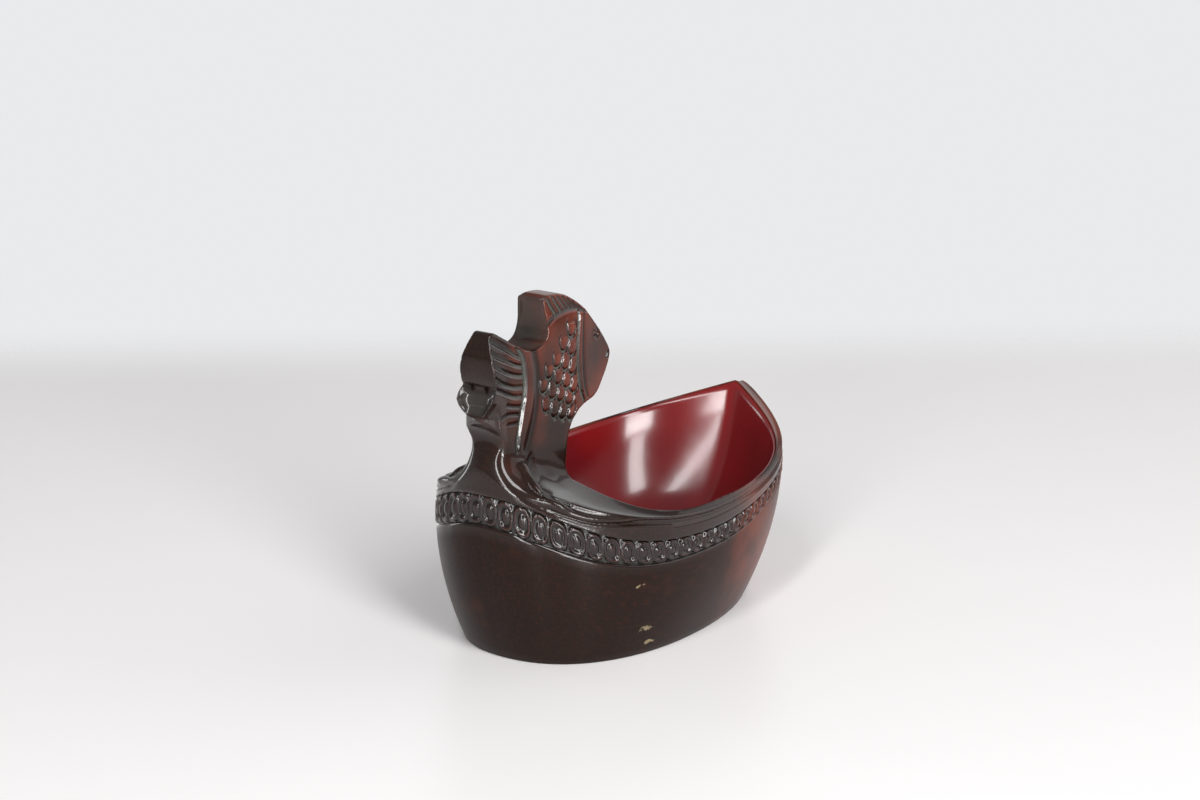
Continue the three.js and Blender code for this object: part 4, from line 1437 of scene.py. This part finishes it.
@dataclass(frozen=True)
class Studio:
    """Floor, backdrop, lamps and camera."""

    camera_place: Triple = (-0.7963, -0.5594, 0.3505)
    camera_forward: Triple = (0.7843, 0.5582, -0.2706)
    lens: float = 85.0
    table: Colour = colour(248, 245, 245)
    wall: Colour = colour(233, 234, 236)
    room: float = 0.13
    mirrored: float = 0.25
    edge_turn: Triple = (0.0, 0.0, -0.66)
    edge_distance: float = 0.3
    edge_fade: float = 0.12
    lamps: tuple[Lamp, ...] = (
        Lamp("window_right_low", -119.0, 0.5, 6.5, 24.0, 24.0),
        Lamp("window_right_high", -119.0, 8.5, 58.0, 14.0, 12.0),
        Lamp("window_left_low", -165.0, 0.5, 6.5, 12.0, 24.0),
        Lamp("window_left_high", -165.0, 8.5, 64.0, 5.0, 17.0),
        Lamp("window_far", 95.0, -10.0, 20.0, 7.0, 5.0),
        Lamp("wall_right", -35.0, 4.0, 46.0, 60.0, 1.1),
        Lamp("wall_back", 42.0, 3.0, 34.0, 70.0, 0.5),
    )

    def floor(self) -> None:
        """Makes the floor, which fades into the pale backdrop at its far edge."""
        bm = bmesh.new()
        bmesh.ops.create_grid(bm, x_segments=1, y_segments=1, size=4.0)
        floor = placed(bm, "floor")
        tree = Tree(bpy.data.materials.new("pale_table"))
        turned = tree.add("ShaderNodeMapping", None, {"Vector": tree.place(), "Rotation": self.edge_turn})
        edge = tree.part(turned, "X").between(self.edge_distance, self.edge_distance + self.edge_fade)
        values = {"Base Color": self.table, "Roughness": 0.35, "Specular IOR Level": 0.4, "Alpha": 1.0 - edge}
        floor.data.materials.append(tree.surface(values))

    def shoot(self) -> None:
        """Makes the camera at the photograph's angle."""
        forward = Vector(self.camera_forward).normalized()
        right = forward.cross(Vector((0, 0, 1))).normalized()
        up = right.cross(forward)
        turn = Matrix((right, up, -forward)).transposed()
        data = bpy.data.cameras.new("camera")
        data.lens, data.sensor_width, data.sensor_fit = self.lens, 36.0, "HORIZONTAL"
        camera = bpy.data.objects.new("camera", data)
        camera.matrix_world = Matrix.Translation(self.camera_place) @ turn.to_4x4()
        bpy.context.scene.collection.objects.link(camera)
        bpy.context.scene.camera = camera

    def light(self) -> None:
        """Hangs the lamps and sets the pale surroundings."""
        for lamp in self.lamps:
            lamp.hang()
        world = bpy.data.worlds.new("room")
        bpy.context.scene.world = world
        tree = Tree(world)
        seen = tree.add("ShaderNodeLightPath", result="Is Camera Ray")
        seen = seen + tree.add("ShaderNodeLightPath", result="Is Glossy Ray") * self.mirrored
        values = {"Color": self.wall, "Strength": self.room + seen * (1.0 - self.room)}
        tree.end(tree.add("ShaderNodeBackground", None, values), "ShaderNodeOutputWorld")
        bpy.context.scene.view_settings.view_transform = "Standard"


def main() -> None:
    """Builds the dish and the studio round it."""
    logging.basicConfig(level=logging.INFO, format="%(message)s")
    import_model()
    form = BowlForm()
    band = LoopBand(form)
    wood = WaxedWood().make("dark_wood")
    lacquer = RedLacquer().make("red_lacquer")
    dress(BowlWall(form, band).build(), wood, "dark_wood", "bowl_hull")
    rim, head, fish = HeadAndFish(form, RimForm(form)).build()
    dress(rim, wood, "dark_wood", "bowl_hull")
    dress(head, wood, "dark_wood", "bowl_hull")
    dress(fish, wood, "fish_wood", "fish_handle")
    dress(LacquerCoat(form).build(), lacquer, "red_lacquer", "lacquer_lining")
    studio = Studio()
    studio.floor()
    studio.light()
    studio.shoot()


if __name__ == "__main__":
    main()
